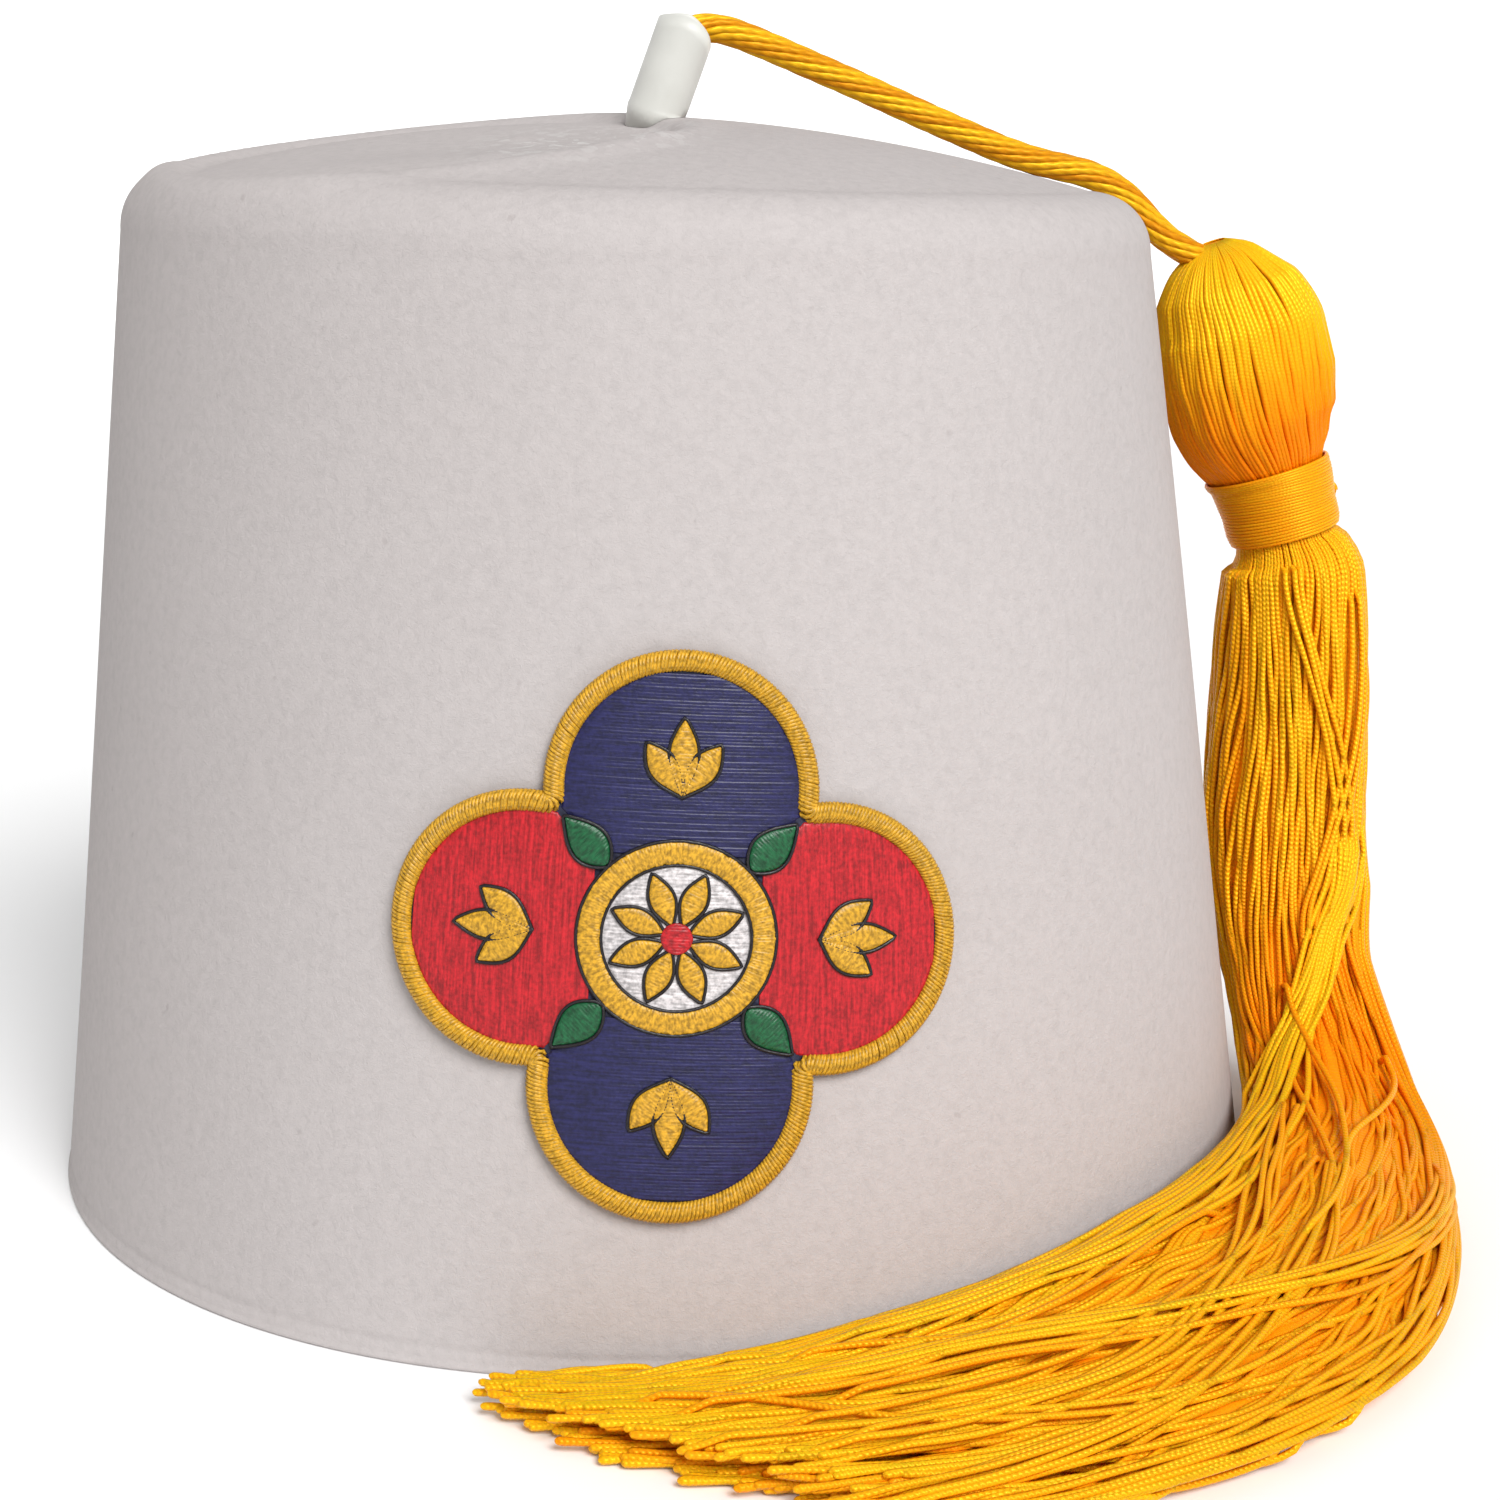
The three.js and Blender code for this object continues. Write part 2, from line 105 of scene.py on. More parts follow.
# %% [markdown]
# ## Skins: one way to make every mesh
#
# A strand, a felt wall and a stitched field are all the same thing to Blender: rings of points, one after
# the other, with faces between each ring and the next. The helper below takes a whole array of them at
# once, shapes by rings by sides, closes their ends and gives each face its place in a UV map.

# %% Skins from arrays of rings
def skin(grid, along, looped=False, ends=None, **values):
    """Faces through rings of points.

    grid holds points as [shape, ring, side, xyz], along the distance of each ring as [shape, ring], and
    values one number for each ring under its name. Corner (ring, side) joins (ring, side + 1) and
    (ring + 1, side). An end closes on a pole, which is the ring's middle unless ends gives both points.
    A looped skin joins its last ring to its first and has no ends.
    """
    shapes, rings, sides = grid.shape[:3]
    ring = np.arange(rings if looped else rings - 1)[:, None]
    side = np.arange(sides)[None, :]
    next_ring = (ring + 1) % rings
    next_side = (side + 1) % sides
    corners = [(ring, side), (ring, next_side), (next_ring, next_side), (next_ring, side)]
    quad = np.stack([row * sides + column for row, column in corners], -1)
    first_index = (np.arange(shapes) * rings * sides)[:, None, None, None]
    quads = (first_index + quad).reshape(-1, 4)

    round_it = np.stack(np.broadcast_arrays(side, side + 1, side + 1, side), -1) / sides
    step = along[:, -1:] - along[:, -2:-1]
    longer = np.concatenate([along, along[:, -1:] + step], 1)
    here = longer[:, ring[:, 0], None]
    there = longer[:, ring[:, 0] + 1, None]
    along_it = np.stack(np.broadcast_arrays(here, here, there, there), -1)
    along_it = np.broadcast_to(along_it, (shapes, len(ring), sides, 4))
    quad_uv = np.stack([np.broadcast_to(round_it, along_it.shape), along_it], -1).reshape(-1, 2)

    points = grid.reshape(-1, 3)
    numbers = {key: np.repeat(value.reshape(-1), sides) for key, value in values.items()}
    if looped:
        return points, quads, np.zeros((0, 3), int), quad_uv, np.zeros((0, 2)), numbers

    if ends is None:
        ends = np.stack([grid[:, 0].mean(1), grid[:, -1].mean(1)], 1)
    pole = len(points) + 2 * np.arange(shapes)[:, None]
    start = (np.arange(shapes) * rings * sides)[:, None]
    last = start + (rings - 1) * sides
    near = np.stack(np.broadcast_arrays(pole, start + next_side, start + side), -1)
    far = np.stack(np.broadcast_arrays(pole + 1, last + side, last + next_side), -1)
    triangles = np.concatenate([near.reshape(-1, 3), far.reshape(-1, 3)])
    cap_round = np.stack(np.broadcast_arrays(side + 0.5, side + 1, side), -1) / sides
    cap_round = np.broadcast_to(cap_round, (shapes, sides, 3))
    cap_along = [np.broadcast_to(along[:, end, None, None], (shapes, sides, 3)) for end in (0, -1)]
    cap_uv = [np.stack([cap_round, distance], -1).reshape(-1, 2) for distance in cap_along]
    for key, value in values.items():
        at_poles = np.stack([value[:, 0], value[:, -1]], 1).reshape(-1)
        numbers[key] = np.concatenate([numbers[key], at_poles])
    points = np.concatenate([points, ends.reshape(-1, 3)])
    return points, quads, triangles, quad_uv, np.concatenate(cap_uv), numbers


def signed_volume(points, quads, triangles):
    """Sum of a . (b x c) / 6 over all triangles, which is positive where faces point outwards."""
    corners = np.concatenate([quads[:, [0, 1, 2]], quads[:, [0, 2, 3]], triangles])
    a, b, c = (points[corners[:, k]] for k in range(3))
    return float((a * np.cross(b, c)).sum() / 6)


def piece(name, skins, material):
    """One Blender object from several skins, placed round the crown's axis, with its faces outwards."""
    offset = np.cumsum([0] + [len(made[0]) for made in skins])
    points = np.concatenate([made[0] for made in skins])
    quads = np.concatenate([made[1] + start for made, start in zip(skins, offset)])
    triangles = np.concatenate([made[2] + start for made, start in zip(skins, offset)])
    quad_uv = np.concatenate([made[3] for made in skins])
    triangle_uv = np.concatenate([made[4] for made in skins])
    if signed_volume(points, quads, triangles) < 0:
        quads, triangles = quads[:, ::-1], triangles[:, ::-1]
        quad_uv = quad_uv.reshape(-1, 4, 2)[:, ::-1].reshape(-1, 2)
        triangle_uv = triangle_uv.reshape(-1, 3, 2)[:, ::-1].reshape(-1, 2)

    mesh = bpy.data.meshes.new(name)
    corners = np.concatenate([quads.ravel(), triangles.ravel()])
    quad_starts = np.arange(len(quads)) * 4
    starts = np.concatenate([quad_starts, 4 * len(quads) + np.arange(len(triangles)) * 3])
    mesh.vertices.add(len(points))
    mesh.vertices.foreach_set("co", (points + AXIS).ravel())
    mesh.loops.add(len(corners))
    mesh.loops.foreach_set("vertex_index", corners.astype(np.int32))
    mesh.polygons.add(len(starts))
    mesh.polygons.foreach_set("loop_start", starts.astype(np.int32))
    mesh.update(calc_edges=True)
    mesh.polygons.foreach_set("use_smooth", np.ones(len(starts), bool))
    uv_map = mesh.uv_layers.new(name="threads")
    uv_map.data.foreach_set("uv", np.concatenate([quad_uv, triangle_uv]).astype(np.float32).ravel())
    for key in skins[0][5]:
        attribute = mesh.attributes.new(key, "FLOAT", "POINT")
        value = np.concatenate([made[5][key] for made in skins])
        attribute.data.foreach_set("value", value.astype(np.float32))
    mesh.materials.append(material)
    made = put_in_scene(name, mesh)
    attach(made, "root")
    print(name, "has", 2 * len(quads) + len(triangles), "triangles")
    return made

# %% [markdown]
# ## Tubes: threads, yarns and strands
#
# A thread is a round tube along a curve. Each ring needs two directions across the curve. One is a given
# direction made square to the curve, and the other is their cross product, so the tube doesn't twist.

# %% Tubes along curves
def unit(vectors):
    """Each vector divided by its length."""
    return vectors / np.maximum(np.linalg.norm(vectors, axis=-1, keepdims=True), 1e-12)


def distance_along(points):
    """Distance of each point from the first one, along the line through them."""
    steps = np.linalg.norm(np.diff(points, axis=-2), axis=-1)
    return np.concatenate([np.zeros((*steps.shape[:-1], 1)), np.cumsum(steps, -1)], -1)


def even_angles(count):
    """Angles that divide a whole turn into equal parts."""
    return np.arange(count) / count * TURN


def bell(value, middle, width):
    """1 at the middle, falling off on both sides as exp(-((value - middle) / width)^2)."""
    return np.exp(-(((value - middle) / width) ** 2))


def tube(centres, radii, reference, sides, **values):
    """Closed round tubes, given as [tube, ring].

    point = centre + radius * (cos(angle) * across + sin(angle) * up), with across the reference made
    square to the curve and up = tangent x across.
    """
    tangent = unit(np.gradient(centres, axis=1))
    across = reference - (reference * tangent).sum(-1, keepdims=True) * tangent
    across = unit(across)
    up = np.cross(tangent, across)
    angle = even_angles(sides)
    wide = (np.cos(angle) * radii[..., None])[..., None]
    tall = (np.sin(angle) * radii[..., None])[..., None]
    grid = centres[:, :, None] + wide * across[:, :, None] + tall * up[:, :, None]
    return skin(grid, distance_along(centres), **values)


def smooth_curve(knots, place):
    """Catmull-Rom curve through knots.

    Between knots 1 and 2 it is the cubic whose slope at a knot is half the step between its neighbours.
    Beyond each end it uses one more knot, mirrored through the last. Gives points and unit tangents.
    """
    knots = np.vstack([2 * knots[0] - knots[1], knots, 2 * knots[-1] - knots[-2]])
    low = np.clip(np.floor(place).astype(int), 0, len(knots) - 4)
    t = (place - low)[..., None]
    before, here, there, after = (knots[low + k] for k in range(4))
    slope = (there - before) / 2
    bend = before - 2.5 * here + 2 * there - after / 2
    twist = 1.5 * (here - there) + (after - before) / 2
    points = here + slope * t + bend * t**2 + twist * t**3
    return points, unit(slope + 2 * bend * t + 3 * twist * t**2)

# %% [markdown]
# ## Materials: a few small helpers
#
# A material is a small graph of nodes. These helpers start one, add a node with its sockets filled, and
# do arithmetic between sockets, so that each finish below reads as a short recipe.

# %% Node helpers
def start_material(name, roughness, colour=None, **shader_values):
    """New material, its node tree and its Principled shader with fixed values on the shader's sockets."""
    material = bpy.data.materials.new(name)
    material.use_nodes = True
    tree = material.node_tree
    shader = tree.nodes["Principled BSDF"]
    shader.inputs["Roughness"].default_value = roughness
    if colour:
        shader.inputs["Base Color"].default_value = (*colour, 1)
    for key, value in shader_values.items():
        shader.inputs[key.replace("_", " ")].default_value = value
    return material, tree, shader


def node(tree, kind, inputs, **settings):
    """Adds a node, with its settings, and fills its sockets with numbers or with other sockets."""
    made = tree.nodes.new(kind)
    for key, value in settings.items():
        setattr(made, key, value)
    for key, value in inputs.items():
        if isinstance(value, bpy.types.NodeSocket):
            tree.links.new(value, made.inputs[key])
        else:
            made.inputs[key].default_value = value
    return made


def object_place(tree):
    """Socket of the place on the object, in metres."""
    return node(tree, "ShaderNodeTexCoord", {}).outputs["Object"]


def paint(tree, shader, colour):
    """Gives the shader its colour from a socket."""
    tree.links.new(colour, shader.inputs["Base Color"])


def calculate(tree, operation, first, second=0.0):
    """Socket that holds first, operation, second."""
    return node(tree, "ShaderNodeMath", {0: first, 1: second}, operation=operation).outputs[0]


def noise(tree, vector, scale, detail=3.0, roughness=0.5, distortion=0.0):
    """Socket of a noise pattern, with scale in lumps for each metre."""
    inputs = {"Vector": vector, "Scale": scale, "Detail": detail, "Roughness": roughness,
              "Distortion": distortion}
    return node(tree, "ShaderNodeTexNoise", inputs).outputs["Fac"]


def ramp(tree, value, stops):
    """Socket of a colour ramp with (position, colour) stops."""
    made = node(tree, "ShaderNodeValToRGB", {"Fac": value})
    elements = made.color_ramp.elements
    while len(elements) < len(stops):
        elements.new(0.5)
    for element, (position, colour) in zip(elements, stops):
        element.position = position
        element.color = (*colour, 1)
    return made.outputs["Color"]


def mix(tree, share, first, second, blend="MIX"):
    """Socket of two colours mixed."""
    made = node(tree, "ShaderNodeMix", {}, data_type="RGBA", blend_type=blend)
    for key, value in ((0, share), (6, first), (7, second)):
        if isinstance(value, bpy.types.NodeSocket):
            tree.links.new(value, made.inputs[key])
        else:
            made.inputs[key].default_value = value
    return made.outputs[2]


def bump(tree, shader, height, distance, strength=1.0):
    """Turns a height pattern into a bumped surface, with distance the real height in metres."""
    made = node(tree, "ShaderNodeBump", {"Height": height, "Distance": distance, "Strength": strength})
    tree.links.new(made.outputs["Normal"], shader.inputs["Normal"])

# %% [markdown]
# ## Gold thread
#
# Rayon floss is shiny and strongly coloured. Light that bounces between the strands loses its green and
# blue at each bounce, and so does light that passes through them, which the shader's subsurface gives, so
# the hollows turn orange by themselves. The hollows between the small marks are also painted darker and
# deeper, as painted shade. Each strand of this tassel is a twisted yarn whose turns show as a row of
# small marks. The pattern follows the strand by its UV map, and each strand carries a shade of its own,
# from 0 for bright to 1 for deep, which is partly a random tone and partly painted shade.

# %% Gold thread finish
STITCH_PITCH = 0.0008
MARK_SLANT, MARK_PHASE, HOLLOW_SHADE_DARKENING = 1.3, 60.0, 0.55
TONE_FROM_SHADE, TONE_FROM_NOISE = 0.7, 0.4
BRIGHT_GOLD = (0.95, 0.52, 0.008)
DEEP_GOLD = (0.92, 0.23, 0.001)
GLOW_RADIUS, GLOW_SIZE = (1.0, 0.35, 0.05), 0.0012


def gold_thread(name, bright, deep, stitch_depth, pitch=STITCH_PITCH, roughness=0.4, hollow_shade_share=0.22):
    """Thread finish.

    Its marks are sin(TURN along / pitch + phase * shade + slant * cos(2 TURN around)), each a small V, and
    its tone is one share of the strand's shade and one of a slow noise. Between the marks the colour is
    painted darker and deeper, as painted shade in their hollows.
    """
    material, tree, shader = start_material(name, roughness, Metallic=0.2, Specular_IOR_Level=0.08,
                                            Subsurface_Weight=0.35, Subsurface_Radius=GLOW_RADIUS,
                                            Subsurface_Scale=GLOW_SIZE)
    place = node(tree, "ShaderNodeUVMap", {}, uv_map="threads").outputs["UV"]
    parts = node(tree, "ShaderNodeSeparateXYZ", {"Vector": place}).outputs
    shade = node(tree, "ShaderNodeAttribute", {}, attribute_name="shade").outputs["Fac"]
    around = calculate(tree, "COSINE", calculate(tree, "MULTIPLY", parts["X"], 2 * TURN))
    around = calculate(tree, "MULTIPLY", around, MARK_SLANT)
    forwards = calculate(tree, "MULTIPLY", parts["Y"], TURN / pitch)
    phase = calculate(tree, "MULTIPLY", shade, MARK_PHASE)
    wave = calculate(tree, "SINE", calculate(tree, "ADD", calculate(tree, "ADD", forwards, around), phase))
    mark = calculate(tree, "MULTIPLY", calculate(tree, "ADD", wave, 1.0), 0.5)

    slow = noise(tree, place, 55.0, 2.0)
    shade_part = calculate(tree, "MULTIPLY", shade, TONE_FROM_SHADE)
    tone = calculate(tree, "ADD", shade_part, calculate(tree, "MULTIPLY", slow, TONE_FROM_NOISE))
    colour = ramp(tree, tone, [(0.12, bright), (0.95, deep)])
    # painted shade: between the marks the colour turns darker and deeper, as in shaded hollows
    painted_hollow_shade = calculate(tree, "MULTIPLY", calculate(tree, "SUBTRACT", 1.0, mark), hollow_shade_share)
    painted_hollow_shade_colour = tuple(HOLLOW_SHADE_DARKENING * part for part in deep)
    colour = mix(tree, painted_hollow_shade, colour, (*painted_hollow_shade_colour, 1))
    paint(tree, shader, colour)
    bump(tree, shader, mark, stitch_depth)
    return material


strand_finish = gold_thread("gold_strand", BRIGHT_GOLD, DEEP_GOLD, 0.00008)
silk_finish = gold_thread("gold_silk", BRIGHT_GOLD, DEEP_GOLD, 0.00003, hollow_shade_share=0.08)
yarn_finish = gold_thread("gold_yarn", (0.90, 0.50, 0.014), (0.58, 0.18, 0.003), 0.00008, pitch=0.0024)
print("thread finishes:", strand_finish.name, silk_finish.name, yarn_finish.name)

# %% [markdown]
# ## The cord
#
# The cord is a ring of yarns laid side by side round a core. They turn so slowly that they run almost
# along the cord, and its outline stays smooth. It leaves the mouth of the stem, droops to the edge of the
# crown and goes into the tassel's head, so it is modelled along its real route and at its real length.

# %% The cord's route
CORD_ROUTE = np.array([
    (0.0056, 0.0000, 0.1707), (0.0076, 0.0001, 0.1716), (0.0098, 0.0003, 0.1722), (0.0122, 0.0006, 0.1722),
    (0.0146, 0.0009, 0.1717), (0.0174, 0.0013, 0.1707), (0.0220, 0.0020, 0.1688), (0.0280, 0.0029, 0.1662),
    (0.0340, 0.0038, 0.1636), (0.0400, 0.0047, 0.1609), (0.0460, 0.0056, 0.1582), (0.0520, 0.0065, 0.1556),
    (0.0570, 0.0073, 0.1535), (0.0620, 0.0080, 0.1518), (0.0665, 0.0087, 0.1507), (0.0705, 0.0092, 0.1496),
    (0.0742, 0.0097, 0.1478), (0.0774, 0.0101, 0.1453), (0.0800, 0.0105, 0.1425), (0.0828, 0.0109, 0.1398),
    (0.0858, 0.0113, 0.1378), (0.0886, 0.0118, 0.1363),
])
CORD_STEP, ROUGH_POINTS = 0.0006, 600
rough, _ = smooth_curve(CORD_ROUTE, np.linspace(0, len(CORD_ROUTE) - 1, ROUGH_POINTS))
rough_distance = distance_along(rough)
cord_length = float(rough_distance[-1])
cord_distance = np.linspace(0, cord_length, round(cord_length / CORD_STEP))
cord_line = np.stack([np.interp(cord_distance, rough_distance, rough[:, k]) for k in range(3)], -1)
print("the cord is", round(cord_length * 1000, 1), "mm long")

# %% Yarns of the cord
YARNS, YARN_OFFSET, YARN_RADIUS, YARN_SIDES = 10, 0.00160, 0.00058, 8
LAY_LENGTH, CORE_RADIUS = 0.040, 0.00140


def circling(line, distance, offset, pitch, start):
    """Helix round a line: line + offset * (cos(angle) * across + sin(angle) * up).

    The angle is TURN * distance / pitch + start.
    """
    tangent = unit(np.gradient(line, axis=0))
    across = unit(BACKWARDS - (tangent @ BACKWARDS)[:, None] * tangent)
    up = np.cross(tangent, across)
    angle = (distance / pitch * TURN + start)[:, None]
    return line + offset * (np.cos(angle) * across + np.sin(angle) * up)


def cord_skins():
    """The yarns round the core as one array of tubes, every third one deeper, and the core."""
    centres = np.array([circling(cord_line, cord_distance, YARN_OFFSET, -LAY_LENGTH, yarn / YARNS * TURN)
                        for yarn in range(YARNS)])
    dice = np.random.default_rng(3)
    own = 0.3 * dice.uniform(0, 1, YARNS) + 0.6 * (np.arange(YARNS) % 3 == 0)
    shade = own[:, None] * np.ones(centres.shape[:2])
    yarns = tube(centres, np.full(centres.shape[:2], YARN_RADIUS), BACKWARDS, YARN_SIDES, shade=shade)
    core_radii = np.full((1, len(cord_line)), CORE_RADIUS)
    core = tube(cord_line[None], core_radii, BACKWARDS, YARN_SIDES, shade=np.ones((1, len(cord_line))))
    return [yarns, core]


cord = piece("twisted_cord", cord_skins(), yarn_finish)
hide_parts("cord")

# %% [markdown]
# ## The felt crown
#
# Felt has no seams: the wall, the rounded edge and the top are one skin, 2.5 mm thick and open below. Its
# half-profile, turned round the axis, gives the outside and then the inside. A real one is never quite
# regular, so the top leans, dips beside the stem and creases, and the wall waves by a fraction of a
# millimetre. Those are functions of the angle and the height, added to the turned form.

# %% Form of the felt
TOP_RADIUS, WALL_HEIGHT, EDGE_RADIUS, DOME_RISE = 0.0763, 0.1503, 0.009, 0.0094
FELT_THICKNESS = 0.0025
FALL_TO_RIGHT, FALL_TO_FRONT = 0.045, 0.017
DISH_MIDDLE, DISH_HALF_SIZE, DISH_DEPTH = (-0.020, -0.020), (0.046, 0.030), 0.0026
FOLD_MIDDLE, FOLD_HALF_SIZE, FOLD_DEPTH, FOLD_WIDTH = (-0.030, -0.018), (0.037, 0.040), 0.0012, 0.09
LIP_HEIGHT, LIP_PLACE, LIP_WIDTH = 0.0008, 1.06, 0.07
STEM_FOOT_X, STEM_CLEARANCE = 0.003, 0.011
wall_top = WALL_HEIGHT - EDGE_RADIUS


def smooth_step(start, end, value):
    """0 before start, 1 after end and 3 t^2 - 2 t^3 between them."""
    share = np.clip((value - start) / (end - start), 0, 1)
    return share * share * (3 - 2 * share)


def wall_radius(height):
    """Outer radius of the wall, which narrows evenly with height."""
    return RIM_RADIUS + (TOP_RADIUS - RIM_RADIUS) * height / WALL_HEIGHT


def felt_point(turn, radius, height):
    """Point of the felt: turned profile, less the top's lean and the dish beside the stem.

    The dish sinks by depth * (1 - s)^2, with s = (x / a)^2 + (y / b)^2 from its middle, and the felt falls
    by a little more inside the fold round it. The fold's lip stands up, except close to the stem.
    """
    x, y = radius * np.cos(turn), radius * np.sin(turn)
    fall = (FALL_TO_FRONT * y - FALL_TO_RIGHT * x) * (height / WALL_HEIGHT) ** 2
    in_dish, in_fold = (((x - middle[0]) / half[0]) ** 2 + ((y - middle[1]) / half[1]) ** 2
                        for middle, half in ((DISH_MIDDLE, DISH_HALF_SIZE), (FOLD_MIDDLE, FOLD_HALF_SIZE)))
    sink = DISH_DEPTH * np.clip(1 - in_dish, 0, 1) ** 2
    reach = np.sqrt(in_fold)
    sink = sink + FOLD_DEPTH * (1 - smooth_step(1 - FOLD_WIDTH, 1, reach))
    from_stem = 1 - np.exp(-((x - STEM_FOOT_X) ** 2 + y * y) / STEM_CLEARANCE**2)
    sink = sink - LIP_HEIGHT * from_stem * bell(reach, LIP_PLACE, LIP_WIDTH)
    return np.stack([x, y, height + fall - sink * smooth_step(wall_top, WALL_HEIGHT, height)], -1)

# %% Profile of the felt and its small unevenness
FELT_SIDES = 240
RIM_ROUNDING = 0.0007
PRESSED_LINE_HEIGHT, PRESSED_LINE_WIDTH, PRESSED_LINE_DEPTH = 0.0026, 0.0006, 0.00015
# how many waves go round, their pitch up the wall, their phase and their depth
WAVES = ((2, 21.0, 0.4, 0.00018), (3, 34.0, 2.1, 0.00014), (5, 27.0, 4.0, 0.00010), (9, 60.0, 1.2, 0.00005))


def felt_profile(inset, wall, edge_rows, dome_rows):
    """Half-profile [radius, height]: a straight wall, a quarter circle, then a dome as a parabola."""
    edge_middle = wall_radius(wall_top) - EDGE_RADIUS
    angle = np.linspace(0, math.pi / 2, edge_rows)
    share = 1 - np.arange(1, dome_rows + 1) / (dome_rows + 1)
    edge_radius = edge_middle + (EDGE_RADIUS - inset) * np.cos(angle)
    edge_height = wall_top + (EDGE_RADIUS - inset) * np.sin(angle)
    dome = WALL_HEIGHT - inset + DOME_RISE * (1 - share**2)
    radius = np.concatenate([wall_radius(wall) - inset, edge_radius, edge_middle * share])
    return np.stack([radius, np.concatenate([wall, edge_height, dome])], -1)


def waviness(turn, height):
    """Slow waves of the blocked wall, always inwards: sum of depth * (1 + sin(n turn + k height)) / 2."""
    return sum(depth * (1 + np.sin(count * turn + pitch * height + phase)) / 2
               for count, pitch, phase, depth in WAVES)

# %% Make the felt's skin
# rows of points in each part of the half-profile
OUTSIDE_ROWS = {"rim": 5, "near_rim": 13, "wall": 50, "edge": 18, "dome": 56}
INSIDE_ROWS = {"wall": 12, "edge": 6, "dome": 10}
# loose wool on the top: middle and half-size of its area, then number, size and height of its lumps
LUMPS_MIDDLE, LUMPS_HALF_SIZE = (-0.008, -0.028), (0.013, 0.019)
LUMP_COUNT, LUMP_SIZE, LUMP_HEIGHT = 30, 0.0020, 0.0003


def top_lumps(points):
    """Small lumps of loose wool in the dish: a sum of bell-shaped bumps."""
    dice = np.random.default_rng(11)
    middle = LUMPS_MIDDLE + dice.uniform(-1, 1, (LUMP_COUNT, 2)) * LUMPS_HALF_SIZE
    size = LUMP_SIZE * dice.uniform(0.5, 1.2, LUMP_COUNT)
    away = np.linalg.norm(points[..., None, :2] - middle, axis=-1)
    on_top = smooth_step(WALL_HEIGHT - 0.004, WALL_HEIGHT, points[..., 2])
    return LUMP_HEIGHT * bell(away, 0, size).sum(-1) * on_top


def crown_skin():
    """Outside from the rim to the top's middle and inside back to the rim, as rings round the axis."""
    rounding = np.linspace(0, math.pi / 2, OUTSIDE_ROWS["rim"])
    rim_radius = wall_radius(0) - RIM_ROUNDING + RIM_ROUNDING * np.sin(rounding)
    rim_rows = np.stack([rim_radius, RIM_ROUNDING - RIM_ROUNDING * np.cos(rounding)], -1)
    near_rim = np.linspace(0.001, 0.0046, OUTSIDE_ROWS["near_rim"])
    wall = np.concatenate([near_rim, np.linspace(0.0065, wall_top - 0.0006, OUTSIDE_ROWS["wall"])])
    outside = felt_profile(0, wall, OUTSIDE_ROWS["edge"], OUTSIDE_ROWS["dome"])
    outside = np.concatenate([rim_rows, outside])
    inner_wall = np.linspace(0.0, wall_top - 0.002, INSIDE_ROWS["wall"])
    inside = felt_profile(FELT_THICKNESS, inner_wall, INSIDE_ROWS["edge"], INSIDE_ROWS["dome"])
    turn = even_angles(FELT_SIDES)
    grids = []
    for profile, outer in ((outside, 1.0), (inside, 0.0)):
        radius, height = (profile[:, k, None] for k in range(2))
        on_wall = 1 - smooth_step(wall_top, WALL_HEIGHT, height)
        line = PRESSED_LINE_DEPTH * bell(height, PRESSED_LINE_HEIGHT, PRESSED_LINE_WIDTH)
        relief = (waviness(turn, height) + line * outer) * on_wall * smooth_step(0.0, 0.0012, height)
        grids.append(felt_point(turn, radius - relief, height + 0 * turn))
    grid = np.concatenate([grids[0][::-1], grids[1]])[None]
    # the rings were turned over, so the outside's are the first ones
    grid[0, :len(outside), :, 2] += top_lumps(grid[0, :len(outside)])
    along = np.linspace(0, 1, grid.shape[1])[None]
    middle_top = WALL_HEIGHT + DOME_RISE
    tops = [felt_point(0.0, 0.0, top) for top in (middle_top, middle_top - FELT_THICKNESS)]
    return skin(grid, along, ends=np.array(tops)[None])

# %% [markdown]
# ## The finish of felt
#
# Felt is quite matt. Close up it is a tangle of fibres about a tenth of a millimetre thick, and from further
# away it is very slightly mottled. Noises of falling size carry that, in Object coordinates, so the pattern
# stays put on the wool. The loose lumps in the dish are a little whiter.

# %% Felt finish and the crown
felt, tree, shader = start_material("white_felt", 1.0, Specular_IOR_Level=0.1)
place = object_place(tree)
fibres = noise(tree, place, 1700.0, 5.0, 0.7, 1.0)
tufts = noise(tree, place, 680.0, 3.0, 0.6, 0.5)
clouds = noise(tree, place, 26.0, 2.0, 0.5)
wool_colour = ramp(tree, clouds, [(0.3, (0.450, 0.416, 0.409)), (0.7, (0.462, 0.428, 0.421))])
tuft_tone = ramp(tree, tufts, [(0.3, (0.93, 0.93, 0.93)), (0.5, (1.0, 1.0, 1.0)), (0.7, (1.05, 1.05, 1.05))])
wool_colour = mix(tree, 0.8, wool_colour, tuft_tone, "MULTIPLY")
flecks = noise(tree, place, 420.0, 1.0)
fleck_tone = ramp(tree, flecks, [(0.17, (0.80, 0.78, 0.78)), (0.24, (1.0, 1.0, 1.0))])
wool_colour = mix(tree, 0.6, wool_colour, fleck_tone, "MULTIPLY")
lump_size = tuple(1 / half for half in LUMPS_HALF_SIZE)
lump_start = tuple(-(middle + axis) * size for middle, axis, size in zip(LUMPS_MIDDLE, AXIS, lump_size))
from_lumps = node(tree, "ShaderNodeMapping", {"Vector": place, "Scale": (*lump_size, 0.0),
                                              "Location": (*lump_start, 0.0)}).outputs["Vector"]
lump_reach = node(tree, "ShaderNodeVectorMath", {0: from_lumps}, operation="LENGTH").outputs["Value"]
near_lumps = calculate(tree, "SUBTRACT", 1.0, calculate(tree, "MULTIPLY", lump_reach, 0.55))
lump_noise = noise(tree, place, 380.0, 2.0, 0.6)
lump_share = calculate(tree, "MULTIPLY", calculate(tree, "GREATER_THAN", lump_noise, 0.56), near_lumps)
lump_share.node.use_clamp = True
